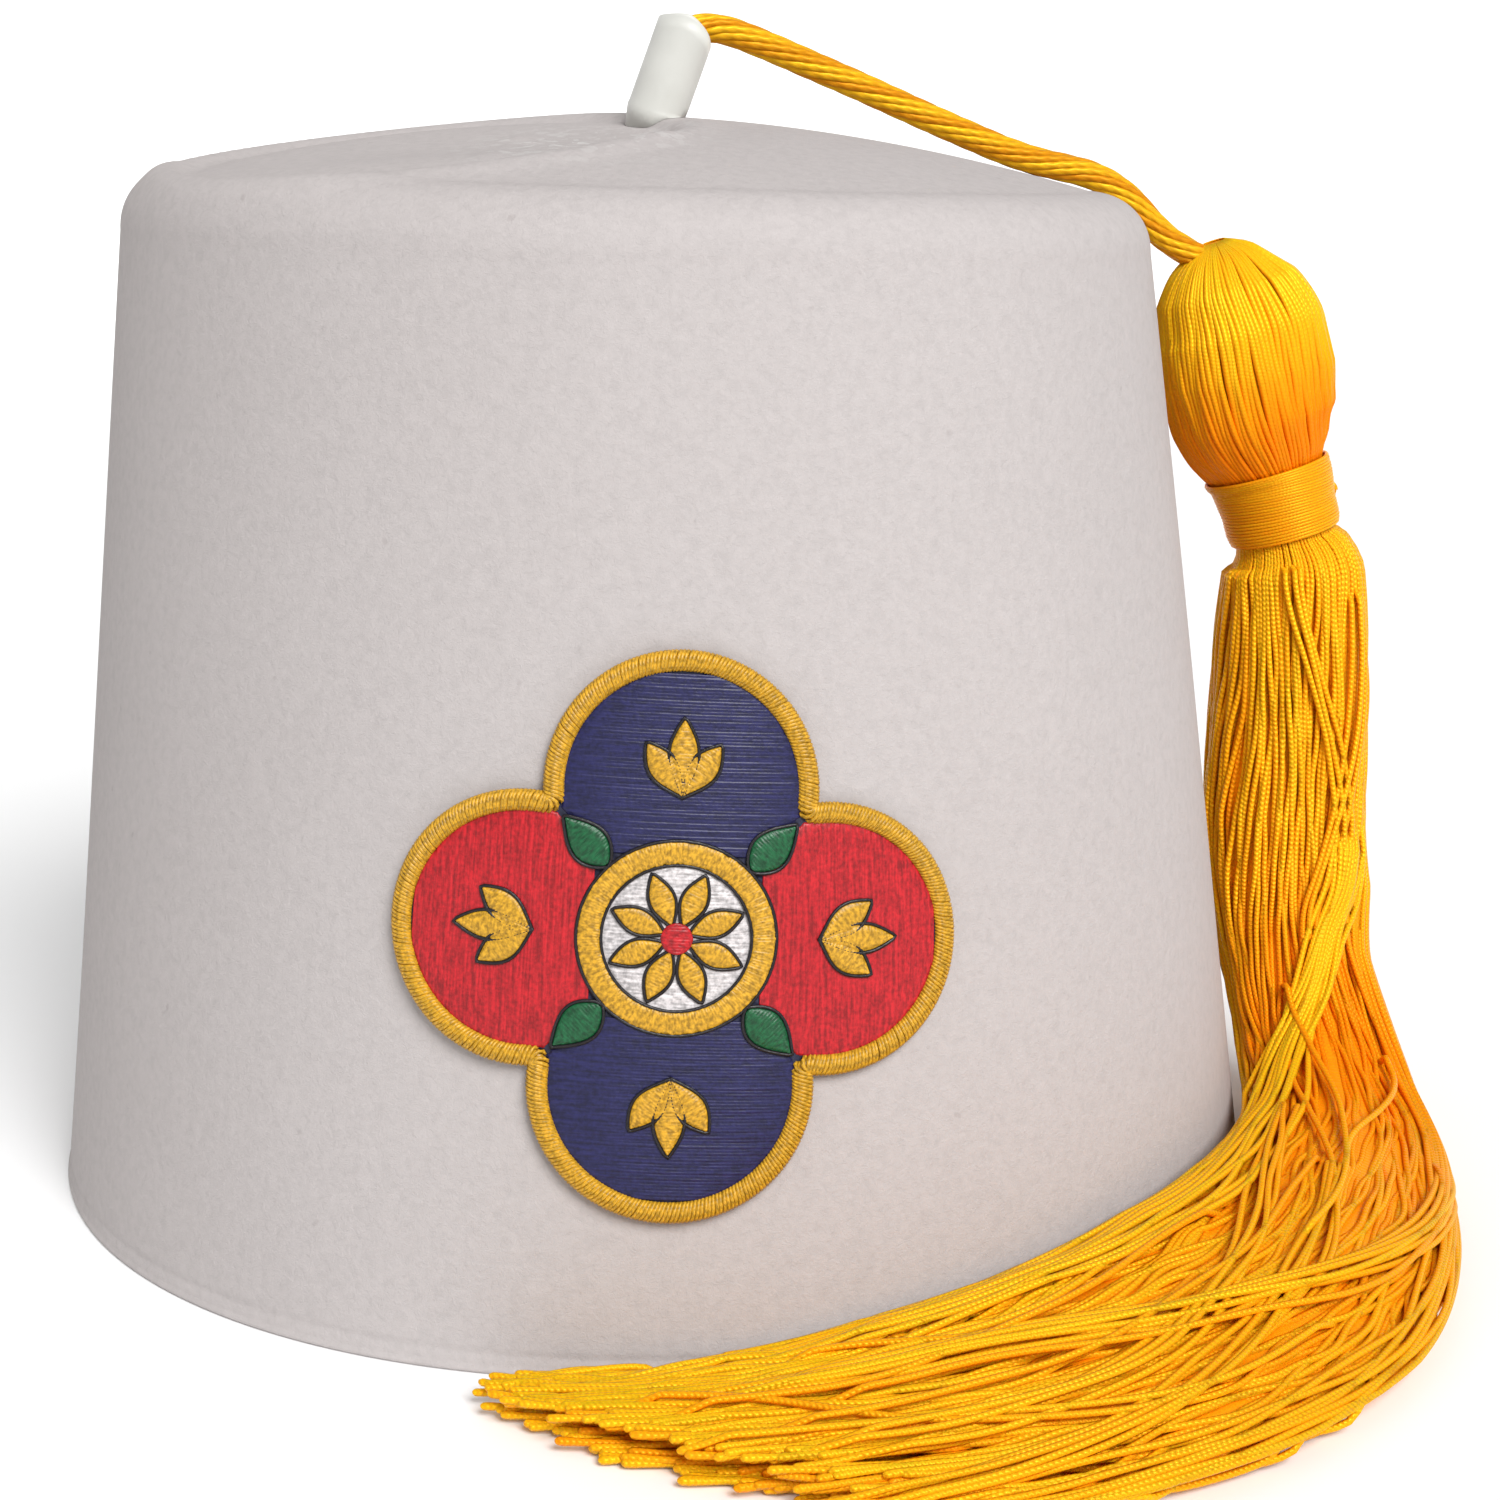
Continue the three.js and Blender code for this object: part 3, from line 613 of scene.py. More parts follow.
wool_colour = mix(tree, lump_share, wool_colour, (0.56, 0.545, 0.53, 1))
paint(tree, shader, wool_colour)
wool_height = calculate(tree, "ADD", calculate(tree, "MULTIPLY", fibres, 0.6),
                        calculate(tree, "MULTIPLY", tufts, 0.4))
bump(tree, shader, wool_height, 0.00022, 0.9)

crown = piece("felt_crown", [crown_skin()], felt)
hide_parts("crown")

# %% [markdown]
# ## The stem
#
# A short white tube stands on the middle of the top and leans to the right, and the cord comes out of its
# mouth. The mouth is level on the left and falls away to the right, where the cord presses the lip down.
# It is one profile, up the outside, over the lip and down the bore, turned round the leaning axis, with
# its foot cut to lie on the felt.

# %% Make the stem
STEM_RADIUS, STEM_LENGTH, STEM_LEAN = 0.0045, 0.0146, math.radians(21)
STEM_WALL, STEM_BORE_DEPTH, STEM_SIDES = 0.0010, 0.0085, 64
MOUTH_FALL, MOUTH_SOFTNESS = math.radians(48), 0.0012
LIP_NOTCH_DEPTH, LIP_NOTCH_WIDTH = 0.0011, 0.5
# the foot flares a little over its first rings, and what is near the felt is lifted to lie on it
FLARE_HEIGHTS, FOOT_FLARES = np.array([0, 0.0007, 0.0014]), np.array([0.00035, 0.00008])
STEM_ROWS, FOOT_ZONE, FOOT_CLEARANCE = 8, 0.004, 0.00005


def dome_height(x, y):
    """Height of the felt's top at a place, near its middle."""
    radius = np.hypot(x, y)
    edge_middle = wall_radius(wall_top) - EDGE_RADIUS
    height = WALL_HEIGHT + DOME_RISE * (1 - (radius / edge_middle) ** 2)
    return felt_point(np.arctan2(y, x), radius, height)[..., 2]


def mouth_height(angle):
    """Length of the tube's side at each angle round it, where a level and a falling plane cut it.

    With c = radius * cos(angle): level = (rise + c sin(lean)) / cos(lean) and falling = (rise + c sin(lean)
    - (c cos(lean) - run) tan(fall)) / (cos(lean) + sin(lean) tan(fall)). The smaller counts, blended.
    """
    sine, cosine, fall = math.sin(STEM_LEAN), math.cos(STEM_LEAN), math.tan(MOUTH_FALL)
    rise = STEM_LENGTH * cosine + STEM_RADIUS * sine
    run = rise * math.tan(STEM_LEAN)
    c = STEM_RADIUS * np.cos(angle)
    level = (rise + c * sine) / cosine
    falling = (rise + c * sine - (c * cosine - run) * fall) / (cosine + sine * fall)
    lower = (level + falling - np.sqrt((level - falling) ** 2 + MOUTH_SOFTNESS**2)) / 2
    from_right = np.minimum(angle, TURN - angle)
    return lower - LIP_NOTCH_DEPTH * bell(from_right, 0, LIP_NOTCH_WIDTH)


def stem_skin():
    """Rings round the leaning axis: foot + up * axis + radius * (cos * level + sin * back)."""
    axis = np.array([math.sin(STEM_LEAN), 0.0, math.cos(STEM_LEAN)])
    level = np.array([math.cos(STEM_LEAN), 0.0, -math.sin(STEM_LEAN)])
    foot = np.array([STEM_FOOT_X, 0.0, float(dome_height(STEM_FOOT_X, 0.0))])
    angle = even_angles(STEM_SIDES)
    around = np.cos(angle)[:, None] * level + np.sin(angle)[:, None] * BACKWARDS
    half_wall = STEM_WALL / 2
    lip = np.linspace(0, math.pi, 9)[:, None]
    down = np.linspace(0, 1, STEM_ROWS)[:, None]
    top = mouth_height(angle) - half_wall
    floor_up = STEM_LENGTH - STEM_BORE_DEPTH
    foot_rings = FLARE_HEIGHTS[:-1, None] + 0 * top
    up = np.concatenate([foot_rings, FLARE_HEIGHTS[-1] + (top - FLARE_HEIGHTS[-1]) * down,
                         top + half_wall * np.sin(lip), top + (floor_up - top) * down])
    radius = np.concatenate([STEM_RADIUS + FOOT_FLARES, np.full(STEM_ROWS, STEM_RADIUS),
                             STEM_RADIUS - half_wall + half_wall * np.cos(lip[:, 0]),
                             np.full(STEM_ROWS, STEM_RADIUS - STEM_WALL)])
    grid = foot + up[..., None] * axis + radius[:, None, None] * around
    felt_top = dome_height(grid[..., 0], grid[..., 1]) + FOOT_CLEARANCE
    grid[..., 2] = np.where(up < FOOT_ZONE, np.maximum(grid[..., 2], felt_top), grid[..., 2])
    grid[0, :, 2] = felt_top[0]
    return skin(grid[None], np.linspace(0, 1, len(grid))[None])


stem_finish, tree, shader = start_material("stem_white", 0.45, Sheen_Weight=0.2)
place = object_place(tree)
pale = ramp(tree, noise(tree, place, 160.0, 2.0), [(0.3, (0.58, 0.58, 0.54)), (0.7, (0.63, 0.63, 0.59))])
paint(tree, shader, pale)
bump(tree, shader, noise(tree, place, 900.0, 3.0), 0.00005, 0.5)
stem = piece("stem_tube", [stem_skin()], stem_finish)
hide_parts("stem")

# %% [markdown]
# ## The tassel as one bundle
#
# A tassel is a bundle of strands tied below its top. The whole bundle follows one line: down the wall
# behind the crown's edge, then round the front of the base on the ground. A table gives its middle and
# its half-sizes at each section. Two shares, u outwards from the wall and v towards the front or the top,
# name a place in the bundle's section, so a strand is just a path in u, v and the section number.

# %% Sections of the bundle
# turn in degrees from +X, then reach, height, half-width across, half-thickness deep, raise in degrees
TASSEL_SECTIONS = np.array([
    (7.5, 0.0914, 0.1389, 0.0022, 0.0022, 0), (7.5, 0.0922, 0.1364, 0.0070, 0.0064, 0),
    (7.4, 0.0936, 0.1315, 0.0114, 0.0106, 0), (7.2, 0.0958, 0.1250, 0.0134, 0.0128, 0),
    (7.1, 0.0970, 0.1180, 0.0139, 0.0134, 0), (7.0, 0.0983, 0.1110, 0.0132, 0.0129, 0),
    (6.9, 0.1001, 0.1056, 0.0110, 0.0107, 0), (6.8, 0.1015, 0.1016, 0.0085, 0.0084, 0),
    (6.7, 0.1028, 0.0968, 0.0077, 0.0077, 0), (6.6, 0.1042, 0.0916, 0.0080, 0.0080, 0),
    (6.5, 0.1054, 0.0866, 0.0114, 0.0109, 0), (6.4, 0.1054, 0.0760, 0.0124, 0.0123, 0),
    (6.0, 0.1050, 0.0610, 0.0130, 0.0132, 0), (4.8, 0.1039, 0.0460, 0.0133, 0.0134, 0),
    (2.4, 0.1029, 0.0330, 0.0119, 0.0128, 0), (-1.5, 0.1027, 0.0235, 0.0108, 0.0116, 0),
    (-7.0, 0.1039, 0.0150, 0.0117, 0.0098, 2), (-13.5, 0.1054, 0.0102, 0.0126, 0.0082, 7),
    (-23.0, 0.1086, 0.0078, 0.0148, 0.0069, 13), (-35.0, 0.1122, 0.0069, 0.0184, 0.0059, 13),
    (-47.0, 0.1156, 0.0061, 0.0218, 0.0052, 11), (-60.0, 0.1174, 0.0051, 0.0234, 0.0045, 7),
    (-73.0, 0.1174, 0.0041, 0.0230, 0.0037, 4), (-85.0, 0.1160, 0.0033, 0.0212, 0.0030, 2),
    (-96.0, 0.1144, 0.0027, 0.0180, 0.0024, 2), (-106.0, 0.1134, 0.0023, 0.0145, 0.0020, 2),
])
LAST_SECTION = len(TASSEL_SECTIONS) - 1
GROUND_CLEARANCE = 0.00015
section_number = np.linspace(0, LAST_SECTION, 1601)
section_turn, section_reach, section_height = TASSEL_SECTIONS[:, :3].T
section_middle = np.stack([section_reach * np.cos(np.radians(section_turn)),
                           section_reach * np.sin(np.radians(section_turn)), section_height], -1)
bundle_line, bundle_tangent = smooth_curve(section_middle, section_number)
outwards = unit(bundle_line * [1, 1, 0])
outwards = unit(outwards - (outwards * bundle_tangent).sum(-1, keepdims=True) * bundle_tangent)
upwards = np.cross(bundle_tangent, outwards)
column = [np.interp(section_number, np.arange(LAST_SECTION + 1), TASSEL_SECTIONS[:, k]) for k in (3, 4, 5)]
half_across, half_deep, raise_angle = column[0], column[1], -np.radians(column[2])[:, None]
bundle_across = np.cos(raise_angle) * outwards + np.sin(raise_angle) * upwards
bundle_deep = np.cross(bundle_tangent, bundle_across)
bundle_length = distance_along(bundle_line)
print("the tassel's middle line is", round(bundle_length[-1] * 1000), "mm long")

# %% Places in the bundle
def at_section(table, section):
    """Rows of a table over section_number, read at any section numbers."""
    if table.ndim == 1:
        return np.interp(section, section_number, table)
    return np.stack([np.interp(section, section_number, table[:, k]) for k in range(3)], -1)


def bundle_point(section, u, v, inset=0.0, floor=0.0):
    """middle + across * u * (half-width - inset) + deep * v * (half-thickness - inset), above the ground."""
    wide = (u * (at_section(half_across, section) - inset))[..., None]
    thick = (v * (at_section(half_deep, section) - inset))[..., None]
    point = at_section(bundle_line, section)
    point = point + wide * at_section(bundle_across, section) + thick * at_section(bundle_deep, section)
    point[..., 2] = np.maximum(point[..., 2], GROUND_CLEARANCE + floor)
    return point


def spread_round(section, angle):
    """Place (u, v) of an angle: u = (1 - w) cos(angle) + w (1 - 2 |angle| / pi), v = the rest of the circle.

    w goes from 0 in a round section to 1 in a flat one, so that strands lie evenly across its width.
    """
    flat = np.clip((at_section(half_across, section) / at_section(half_deep, section) - 1) / 3, 0, 1)
    wrapped = (angle + math.pi) % TURN - math.pi
    u = (1 - flat) * np.cos(angle) + flat * (1 - 2 * np.abs(wrapped) / math.pi)
    return u, np.sign(wrapped) * np.sqrt(np.clip(1 - u**2, 0, 1))


TIP_STEPS = np.array([0.0007, 0.0004, 0.00018, 0.00004, 0.0])


def spaced_sections(first, last, rings):
    """Section numbers from first to last as [strand, ring], with the distance to the end in metres.

    They are evenly spaced along the middle line, but for the last ones, which crowd towards the tip.
    """
    start, end = (np.interp(value, section_number, bundle_length)[:, None] for value in (first, last))
    even = start + (end - 2 * TIP_STEPS[0] - start) * np.linspace(0, 1, rings - len(TIP_STEPS))
    distance = np.concatenate([even, end - TIP_STEPS], 1)
    return np.interp(distance, bundle_length, section_number), end - distance


def girth(section):
    """Distance round the bundle: TURN * sqrt((across^2 + deep^2) / 2)."""
    return TURN * np.sqrt((at_section(half_across, section) ** 2 + at_section(half_deep, section) ** 2) / 2)

# %% [markdown]
# ## Strands that wander together
#
# Strands in a tassel aren't parallel. Neighbours hang together in locks, with grooves between them, and a
# few lie across the rest. Here a strand's angle round the bundle is its own plus a slow wave that its
# neighbours share plus a small one of its own. Its distance from the middle dips at the grooves.

# %% Paths of the strands
STRAND_RADIUS = 0.00049
# a strand's radius is at most this share of the room it has round the bundle
STRAND_FILL = 0.62
TIP_SWELLING, SWELLING_PLACE, SWELLING_WIDTH, TIP_POINT = 0.22, 0.0011, 0.0008, 0.03
NECK_SECTION = 8.0
INNER_END, OUTER_END, END_STAGGER = 24.6, 22.4, 0.22
# waves round the bundle, their rate along it, their phase and their size
LANE_WAVES = ((2, 0.42, 0.9, 0.075), (3, 0.71, 2.2, 0.055), (5, 1.13, 4.1, 0.040), (8, 1.71, 0.3, 0.022))
GROOVE_COUNT, GROOVE_DEPTH = 13, 0.07


def lane_shift(angle, section):
    """Shared wander of a lock of strands: sum of size * sin(n angle + k section + phase)."""
    return sum(size * np.sin(count * angle + rate * section + phase)
               for count, rate, phase, size in LANE_WAVES)


def groove(angle, section):
    """1 in the middle of a groove between locks and 0 on a lock: 1 - |sin| to a small power."""
    wave = np.sin(GROOVE_COUNT / 2 * angle + 0.5 * np.sin(0.37 * section) + 0.6 * np.sin(2 * angle + 1.0))
    return 1 - np.abs(wave) ** 0.55


def own_wave(distance, dice, shortest, longest):
    """sin(TURN * (distance / wavelength + phase)), with each strand's own wavelength and phase."""
    wavelength = dice.uniform(shortest, longest, (len(distance), 1))
    return np.sin(TURN * (distance / wavelength + dice.uniform(0, 1, (len(distance), 1))))


def tip_radius(radii, to_tip):
    """Radii with a small swelling before each tip and a round end.

    The end is radius * sqrt(s (2 - s)), with s = distance to the tip / radius.
    """
    s = np.clip(to_tip / radii, 0, 1)
    swelling = 1 + TIP_SWELLING * bell(to_tip, SWELLING_PLACE, SWELLING_WIDTH)
    return radii * swelling * np.maximum(np.sqrt(s * (2 - s)), TIP_POINT)


def end_section(u):
    """Where the strands end: the section falls evenly from the side near the wall, u = -1, to u = 1."""
    return INNER_END + (OUTER_END - INNER_END) * (u + 1) / 2


def strand_paths(count, share, ring_step, seed):
    """Strands at even angles round the bundle, at one share of its size.

    Gives centres, radii, section numbers and angles, each as [strand, ring].
    """
    dice = np.random.default_rng(seed)
    own_angle = ((np.arange(count) + dice.uniform(-0.3, 0.3, count)) / count * TURN)[:, None]
    last = end_section(np.cos(own_angle[:, 0]) * share) + dice.uniform(-END_STAGGER, END_STAGGER, count)
    lengths = np.interp([NECK_SECTION, INNER_END], section_number, bundle_length)
    rings = round((lengths[1] - lengths[0]) / ring_step)
    section, to_tip = spaced_sections(np.full(count, NECK_SECTION), last, rings)
    distance = at_section(bundle_length, section)
    loose = smooth_step(8.8, 11.5, section)
    tangled = smooth_step(14.5, 18.5, section)
    sway = (0.032 + 0.055 * tangled) * own_wave(distance, dice, 0.035, 0.080)
    crimp = (0.006 + 0.012 * tangled) * own_wave(distance, dice, 0.010, 0.018)
    angle = own_angle + (lane_shift(own_angle, section) + sway + crimp) * loose
    uneven = (0.02 + 0.03 * tangled) * (1 + own_wave(distance, dice, 0.020, 0.050))
    depth = share - (GROOVE_DEPTH * groove(angle, section) + uneven) * loose
    radii = np.minimum(STRAND_RADIUS, girth(section) * share / count * STRAND_FILL)
    radii = tip_radius(radii, to_tip)
    u, v = spread_round(section, angle)
    return bundle_point(section, depth * u, depth * v, STRAND_RADIUS, radii), radii, section, angle

# %% [markdown]
# ## The skirt
#
# Two layers of strands lie round a plain core that fills the bundle. The core ends before the tips, and
# past it a third layer inside closes the bundle. Strands in the grooves are painted deeper in colour, as
# painted shade, and so are those in the bend, where the skirt turns from the wall to the ground and opens
# like a fan. Each layer further in also starts deeper, as painted shade.

# %% Make the skirt
# each layer's shade is painted shade, and it starts deeper the further in the layer lies
SKIRT_LAYERS = (
    {"name": "outer", "count": 98, "share": 1.00, "step": 0.0015, "sides": 5, "seed": 21, "shade": 0.10},
    {"name": "middle", "count": 80, "share": 0.91, "step": 0.0019, "sides": 5, "seed": 22, "shade": 0.34},
    {"name": "inner", "count": 36, "share": 0.70, "step": 0.0025, "sides": 5, "seed": 23, "shade": 0.60},
)
BEND_SECTION, BEND_WIDTH, BEND_SHADE = 16.5, 2.3, 0.66
GROOVE_SHADE, OWN_SHADE, TIP_SHADE = 0.24, 0.34, 0.40


def strand_shades(lightest, section, angle, seed):
    """Shade = lightest + own + groove + bend - tip, where the bend counts on the front and top only."""
    # painted shade: strands in the bend, on its front and top, and in the grooves between locks are painted
    # deeper; own is a random tone, and all strands turn lighter towards their tips
    own = np.random.default_rng(seed).uniform(0, OWN_SHADE, (len(section), 1))
    in_bend = bell(section, BEND_SECTION, BEND_WIDTH) * smooth_step(0.1, 0.5, np.sin(angle))
    shade = lightest + own + GROOVE_SHADE * groove(angle, section) + BEND_SHADE * in_bend
    return np.clip(shade - TIP_SHADE * smooth_step(20.0, 23.5, section), 0, 1)


for layer in SKIRT_LAYERS:
    centres, radii, section, angle = strand_paths(
        layer["count"], layer["share"], layer["step"], layer["seed"])
    shade = strand_shades(layer["shade"], section, angle, layer["seed"])
    # the outer layer makes two objects of half its strands each
    halves = np.array_split(np.arange(layer["count"]), 2 if layer["name"] == "outer" else 1)
    for number, chosen in enumerate(halves):
        reference = at_section(bundle_across, section[chosen])
        made = tube(centres[chosen], radii[chosen], reference, layer["sides"], shade=shade[chosen])
        piece(f"skirt_{layer['name']}_{number + 1}", [made], strand_finish)

# %% [markdown]
# ## The head, the core and the crossing locks
#
# The head is the same strands folded over the end of the cord, so they fan out from where the cord enters
# and meet again under the wrap. Where they crowd at the top they are drawn thinner. A smooth core lies
# under them and under the skirt. Last come the locks that lie across the others, most of them where the
# skirt turns along the ground.

# %% Make the head
HEAD_STRANDS, HEAD_FIRST, HEAD_LAST = 100, 0.04, 7.6
HEAD_RINGS, HEAD_SIDES = 60, 6
HEAD_RADIUS, HEAD_FILL = STRAND_RADIUS * 1.1, 0.66


def head_skin():
    """Strands over the head, with a slow sway that neighbours share and small dips of their own."""
    dice = np.random.default_rng(31)
    own_angle = (np.arange(HEAD_STRANDS) + dice.uniform(-0.2, 0.2, HEAD_STRANDS)) / HEAD_STRANDS * TURN
    own_angle = own_angle[:, None]
    ones = np.ones(HEAD_STRANDS)
    section, _ = spaced_sections(HEAD_FIRST * ones, HEAD_LAST * ones, HEAD_RINGS)
    own = dice.uniform(0, TURN, (HEAD_STRANDS, 1))
    angle = own_angle + 0.08 * np.sin(0.6 * section) + 0.012 * np.sin(1.6 * section + own)
    radii = np.minimum(HEAD_RADIUS, girth(section) / HEAD_STRANDS * HEAD_FILL)
    depth = 1 - 0.02 * (1 + np.sin(3 * own_angle + 0.9 * section)) - 0.012 * np.sin(1.9 * section + own)
    centres = bundle_point(section, depth * np.cos(angle), depth * np.sin(angle), STRAND_RADIUS)
    own_shade = 0.02 + dice.uniform(0, 0.16, (HEAD_STRANDS, 1))
    # painted shade: the lower part of the head, towards the wrap, is painted deeper
    shade = own_shade + 0.95 * smooth_step(2.6, 5.8, section)
    return tube(centres, radii, at_section(bundle_across, section), HEAD_SIDES, shade=shade)


head = piece("tassel_head", [head_skin()], silk_finish)
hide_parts("tassel")

# %% Make the core
CORE_SIDES, CORE_RINGS = 40, 150
# the core is painted a deep tone, as painted shade inside the bundle, and deeper again in the bend
CORE_SHADE, CORE_BEND_SHADE = 0.6, 0.25
# share of the bundle that the core fills, at some of its sections
CORE_SECTIONS, CORE_SHARES = (0, 6.5, 9, 11, 14, 18, 21, 22.4), (0.88, 0.90, 0.88, 0.86, 0.88, 0.88, 0.8, 0.1)


def core_skin():
    """Filling of the bundle: its section at a share of its size that falls from the head to the far end."""
    section = np.linspace(0.15, CORE_SECTIONS[-1], CORE_RINGS)
    share = np.interp(section, CORE_SECTIONS, CORE_SHARES)
    angle = even_angles(CORE_SIDES)
    u, v = share[:, None] * np.cos(angle), share[:, None] * np.sin(angle)
    grid = bundle_point(section[:, None] + 0 * angle, u, v, 0.0002)[None]
    along = np.interp(section, section_number, bundle_length)[None]
    # painted shade: deep all along, and deeper in the bend
    shade = CORE_SHADE + CORE_BEND_SHADE * bell(section, BEND_SECTION, BEND_WIDTH)
    return skin(grid, along, shade=shade[None])


core = piece("tassel_core", [core_skin()], silk_finish)

# %% Make the crossing locks
# first and last section, u at the start and end, sections where it turns, strands, spread, lift, shade
CROSSING_LOCKS = (
    (12.5, 23.0, 0.55, -0.80, 13.6, 18.4, 12, 0.24, 1.8, 0.00),
    (13.2, 22.3, 0.80, 0.90, 14.0, 17.0, 9, 0.12, 0.9, 0.20),
    (13.0, 23.6, 0.92, -0.30, 17.8, 22.0, 6, 0.08, 2.6, 0.02),
    (17.6, 22.9, -0.60, 0.30, 18.0, 22.0, 4, 0.08, 2.2, 0.08),
    (18.4, 23.9, -0.05, 0.75, 18.6, 22.6, 4, 0.07, 1.3, 0.20),
    (9.4, 14.0, -0.30, 0.45, 10.0, 13.5, 3, 0.10, 1.0, 0.10),
    (10.0, 15.5, 0.60, 0.05, 11.0, 15.0, 3, 0.10, 1.2, 0.25),
)
SINGLE_STRANDS = 9
LOCK_RINGS, LOCK_SIDES = 100, 5
BURIED_SHARE, BURIED_DEPTH = 0.08, 0.55
lock_dice = np.random.default_rng(41)


def single_rows(count):
    """Rows of the same kind for strands that cross on their own, at places drawn by chance."""
    first = lock_dice.uniform(14.5, 21.0, count)
    last = np.minimum(first + lock_dice.uniform(2.0, 5.0, count), 24.2)
    u_start = lock_dice.uniform(-0.8, 0.9, count)
    step = lock_dice.uniform(0.25, 0.9, count) * np.where(u_start > 0, -1, 1)
    turn = (last - first) * 0.15
    fixed = np.stack([np.ones(count), np.zeros(count)], -1)
    lift, shade = lock_dice.uniform(0.6, 2.6, count), lock_dice.uniform(0.0, 0.4, count)
    return np.column_stack([first, last, u_start, u_start + step, first + turn, last - turn,
                            fixed, lift, shade])


def crossing_skin():
    """Strands on top of the bundle.

    u = a blend of two values + the strand's own place in its lock, v = sqrt(1 - u^2), and a lock's middle
    strands lie higher than its outer ones. Both ends dive under the skirt's own strands.
    """
    rows = [np.repeat([lock], lock[6], axis=0) for lock in CROSSING_LOCKS]
    columns = np.concatenate(rows + [single_rows(SINGLE_STRANDS)])
    places = [np.linspace(-1, 1, lock[6]) for lock in CROSSING_LOCKS]
    place = np.concatenate(places + [np.zeros(SINGLE_STRANDS)])[:, None]
    first, last, u_start, u_end, turn_from, turn_to, _, spread, lift, lightest = columns.T[..., None]
    count = len(columns)
    last = np.minimum(last, end_section(u_end)) + lock_dice.uniform(-0.25, 0.1, (count, 1))
    section, to_tip = spaced_sections(first[:, 0], last[:, 0], LOCK_RINGS)
    distance = at_section(bundle_length, section)
    share = (section - first) / (last - first)
    turning = np.clip((section - turn_from) / (turn_to - turn_from), 0, 1)
    u = u_start + (u_end - u_start) * turning * turning * (3 - 2 * turning)
    tangled = smooth_step(14.5, 18.5, section)
    u = u + spread * place * (1 + 0.4 * own_wave(distance, lock_dice, 0.05, 0.12))
    u = u + (0.008 + 0.010 * tangled) * own_wave(distance, lock_dice, 0.025, 0.05)
    u = np.clip(u, -0.96, 0.96)
    buried = 1 - np.minimum(1, np.minimum(share, 1 - share) / BURIED_SHARE)
    v = np.sqrt(1 - u**2) * (1 - BURIED_DEPTH * buried)
    height = STRAND_RADIUS * lift * (1 - 0.5 * place**2) * (1 - buried)
    radii = tip_radius(np.full(section.shape, STRAND_RADIUS), to_tip)
    centres = bundle_point(section, u, v, -height, STRAND_RADIUS)
    # the locks with no shade of their own stay bright through the bend; the others take the bend's painted
    # shade
    in_bend = bell(section, BEND_SECTION, BEND_WIDTH) * (lightest > 0)
    shade = lightest + lock_dice.uniform(0, 0.2, (count, 1)) + BEND_SHADE * in_bend
    return tube(centres, radii, at_section(bundle_across, section), LOCK_SIDES, shade=np.clip(shade, 0, 1))


piece("crossing_locks", [crossing_skin()], strand_finish)

# %% [markdown]
# ## The wrap round the neck
#
# Thread is wound round the neck two dozen times and tied off in a small knot. A winding is one long
# tube whose path is a circle round the bundle while the section creeps down. The real one's upper edge
# sits a little askew, higher on the outside, so the section also depends on u.

# %% Make the wrap and its knot
WRAP_TURNS, WRAP_RINGS, WRAP_THREAD_RADIUS, WRAP_SKEW = 24, 760, 0.00030, 0.16
WRAP_FIRST, WRAP_LAST, WRAP_PROUD, WRAP_BULGE, WRAP_TAPER = 6.66, 8.86, 0.00080, 0.0003, 0.14
WRAP_SIDES = 6
KNOT_SECTION, KNOT_RADIUS, KNOT_THREAD, KNOT_PROUD = 8.05, 0.0011, 0.00042, 0.0018
KNOT_RINGS, KNOT_TURNS, KNOT_WIDTH, KNOT_SHADE = 150, 3.2, 0.0026, 0.4


def winding():
    """Thread wound round the neck.

    Its angle runs some turns round while the section goes from first to last, and it stands less proud
    near both ends. The side towards the wall is painted deeper in colour, as painted shade.
    """
    share = np.linspace(0, 1, WRAP_RINGS)
    angle = share * WRAP_TURNS * TURN
    section = WRAP_FIRST + (WRAP_LAST - WRAP_FIRST) * share + WRAP_SKEW * (1 - share) * np.cos(angle)
    inside = np.minimum(1, np.minimum(share, 1 - share) / WRAP_TAPER)
    proud = WRAP_PROUD * (0.35 + 0.65 * np.sqrt(inside)) + WRAP_BULGE * np.sin(math.pi * share)
    line = bundle_point(section, np.cos(angle), np.sin(angle), -proud)[None]
    # painted shade on the side towards the wall, plus a slow change of tone along the thread
    shade = 0.30 + 0.14 * (1 - np.cos(angle)) + 0.10 * np.sin(angle / 7.3) * np.sin(angle / 2.9)
    return tube(line, np.full((1, WRAP_RINGS), WRAP_THREAD_RADIUS), np.array([0.0, 0.0, -1.0]), WRAP_SIDES,
                shade=shade[None])


def knot():
    """A few turns of thicker thread about a level line, on the wrap's outer side."""
    middle = bundle_point(np.array(KNOT_SECTION), np.array(1.0), np.array(-0.25), -KNOT_PROUD)
    share = np.linspace(0, 1, KNOT_RINGS)
    angle = share * KNOT_TURNS * TURN
    line = middle + np.stack([KNOT_RADIUS * 0.75 * np.cos(angle), (share - 0.5) * KNOT_WIDTH,
                              KNOT_RADIUS * np.sin(angle)], -1)
    return tube(line[None], np.full((1, KNOT_RINGS), KNOT_THREAD), BACKWARDS, WRAP_SIDES,
                shade=np.full((1, KNOT_RINGS), KNOT_SHADE))


wrap_finish = gold_thread("wrap_thread", (0.92, 0.50, 0.008), (0.82, 0.18, 0.001), 0.00002,
                          pitch=0.0006, roughness=0.36, hollow_shade_share=0.10)
wrap = piece("neck_wrap", [winding(), knot()], wrap_finish)
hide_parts("tassel_wrap")

# %% [markdown]
# ## Over the wall: where the patch lies
#
# The patch is sewn on the front of the wall, so it bends with it. A place on the patch is a distance to
# the right and up on the felt and a height off it, and one function turns that into a point. Everything
# embroidered is drawn flat and goes through it.

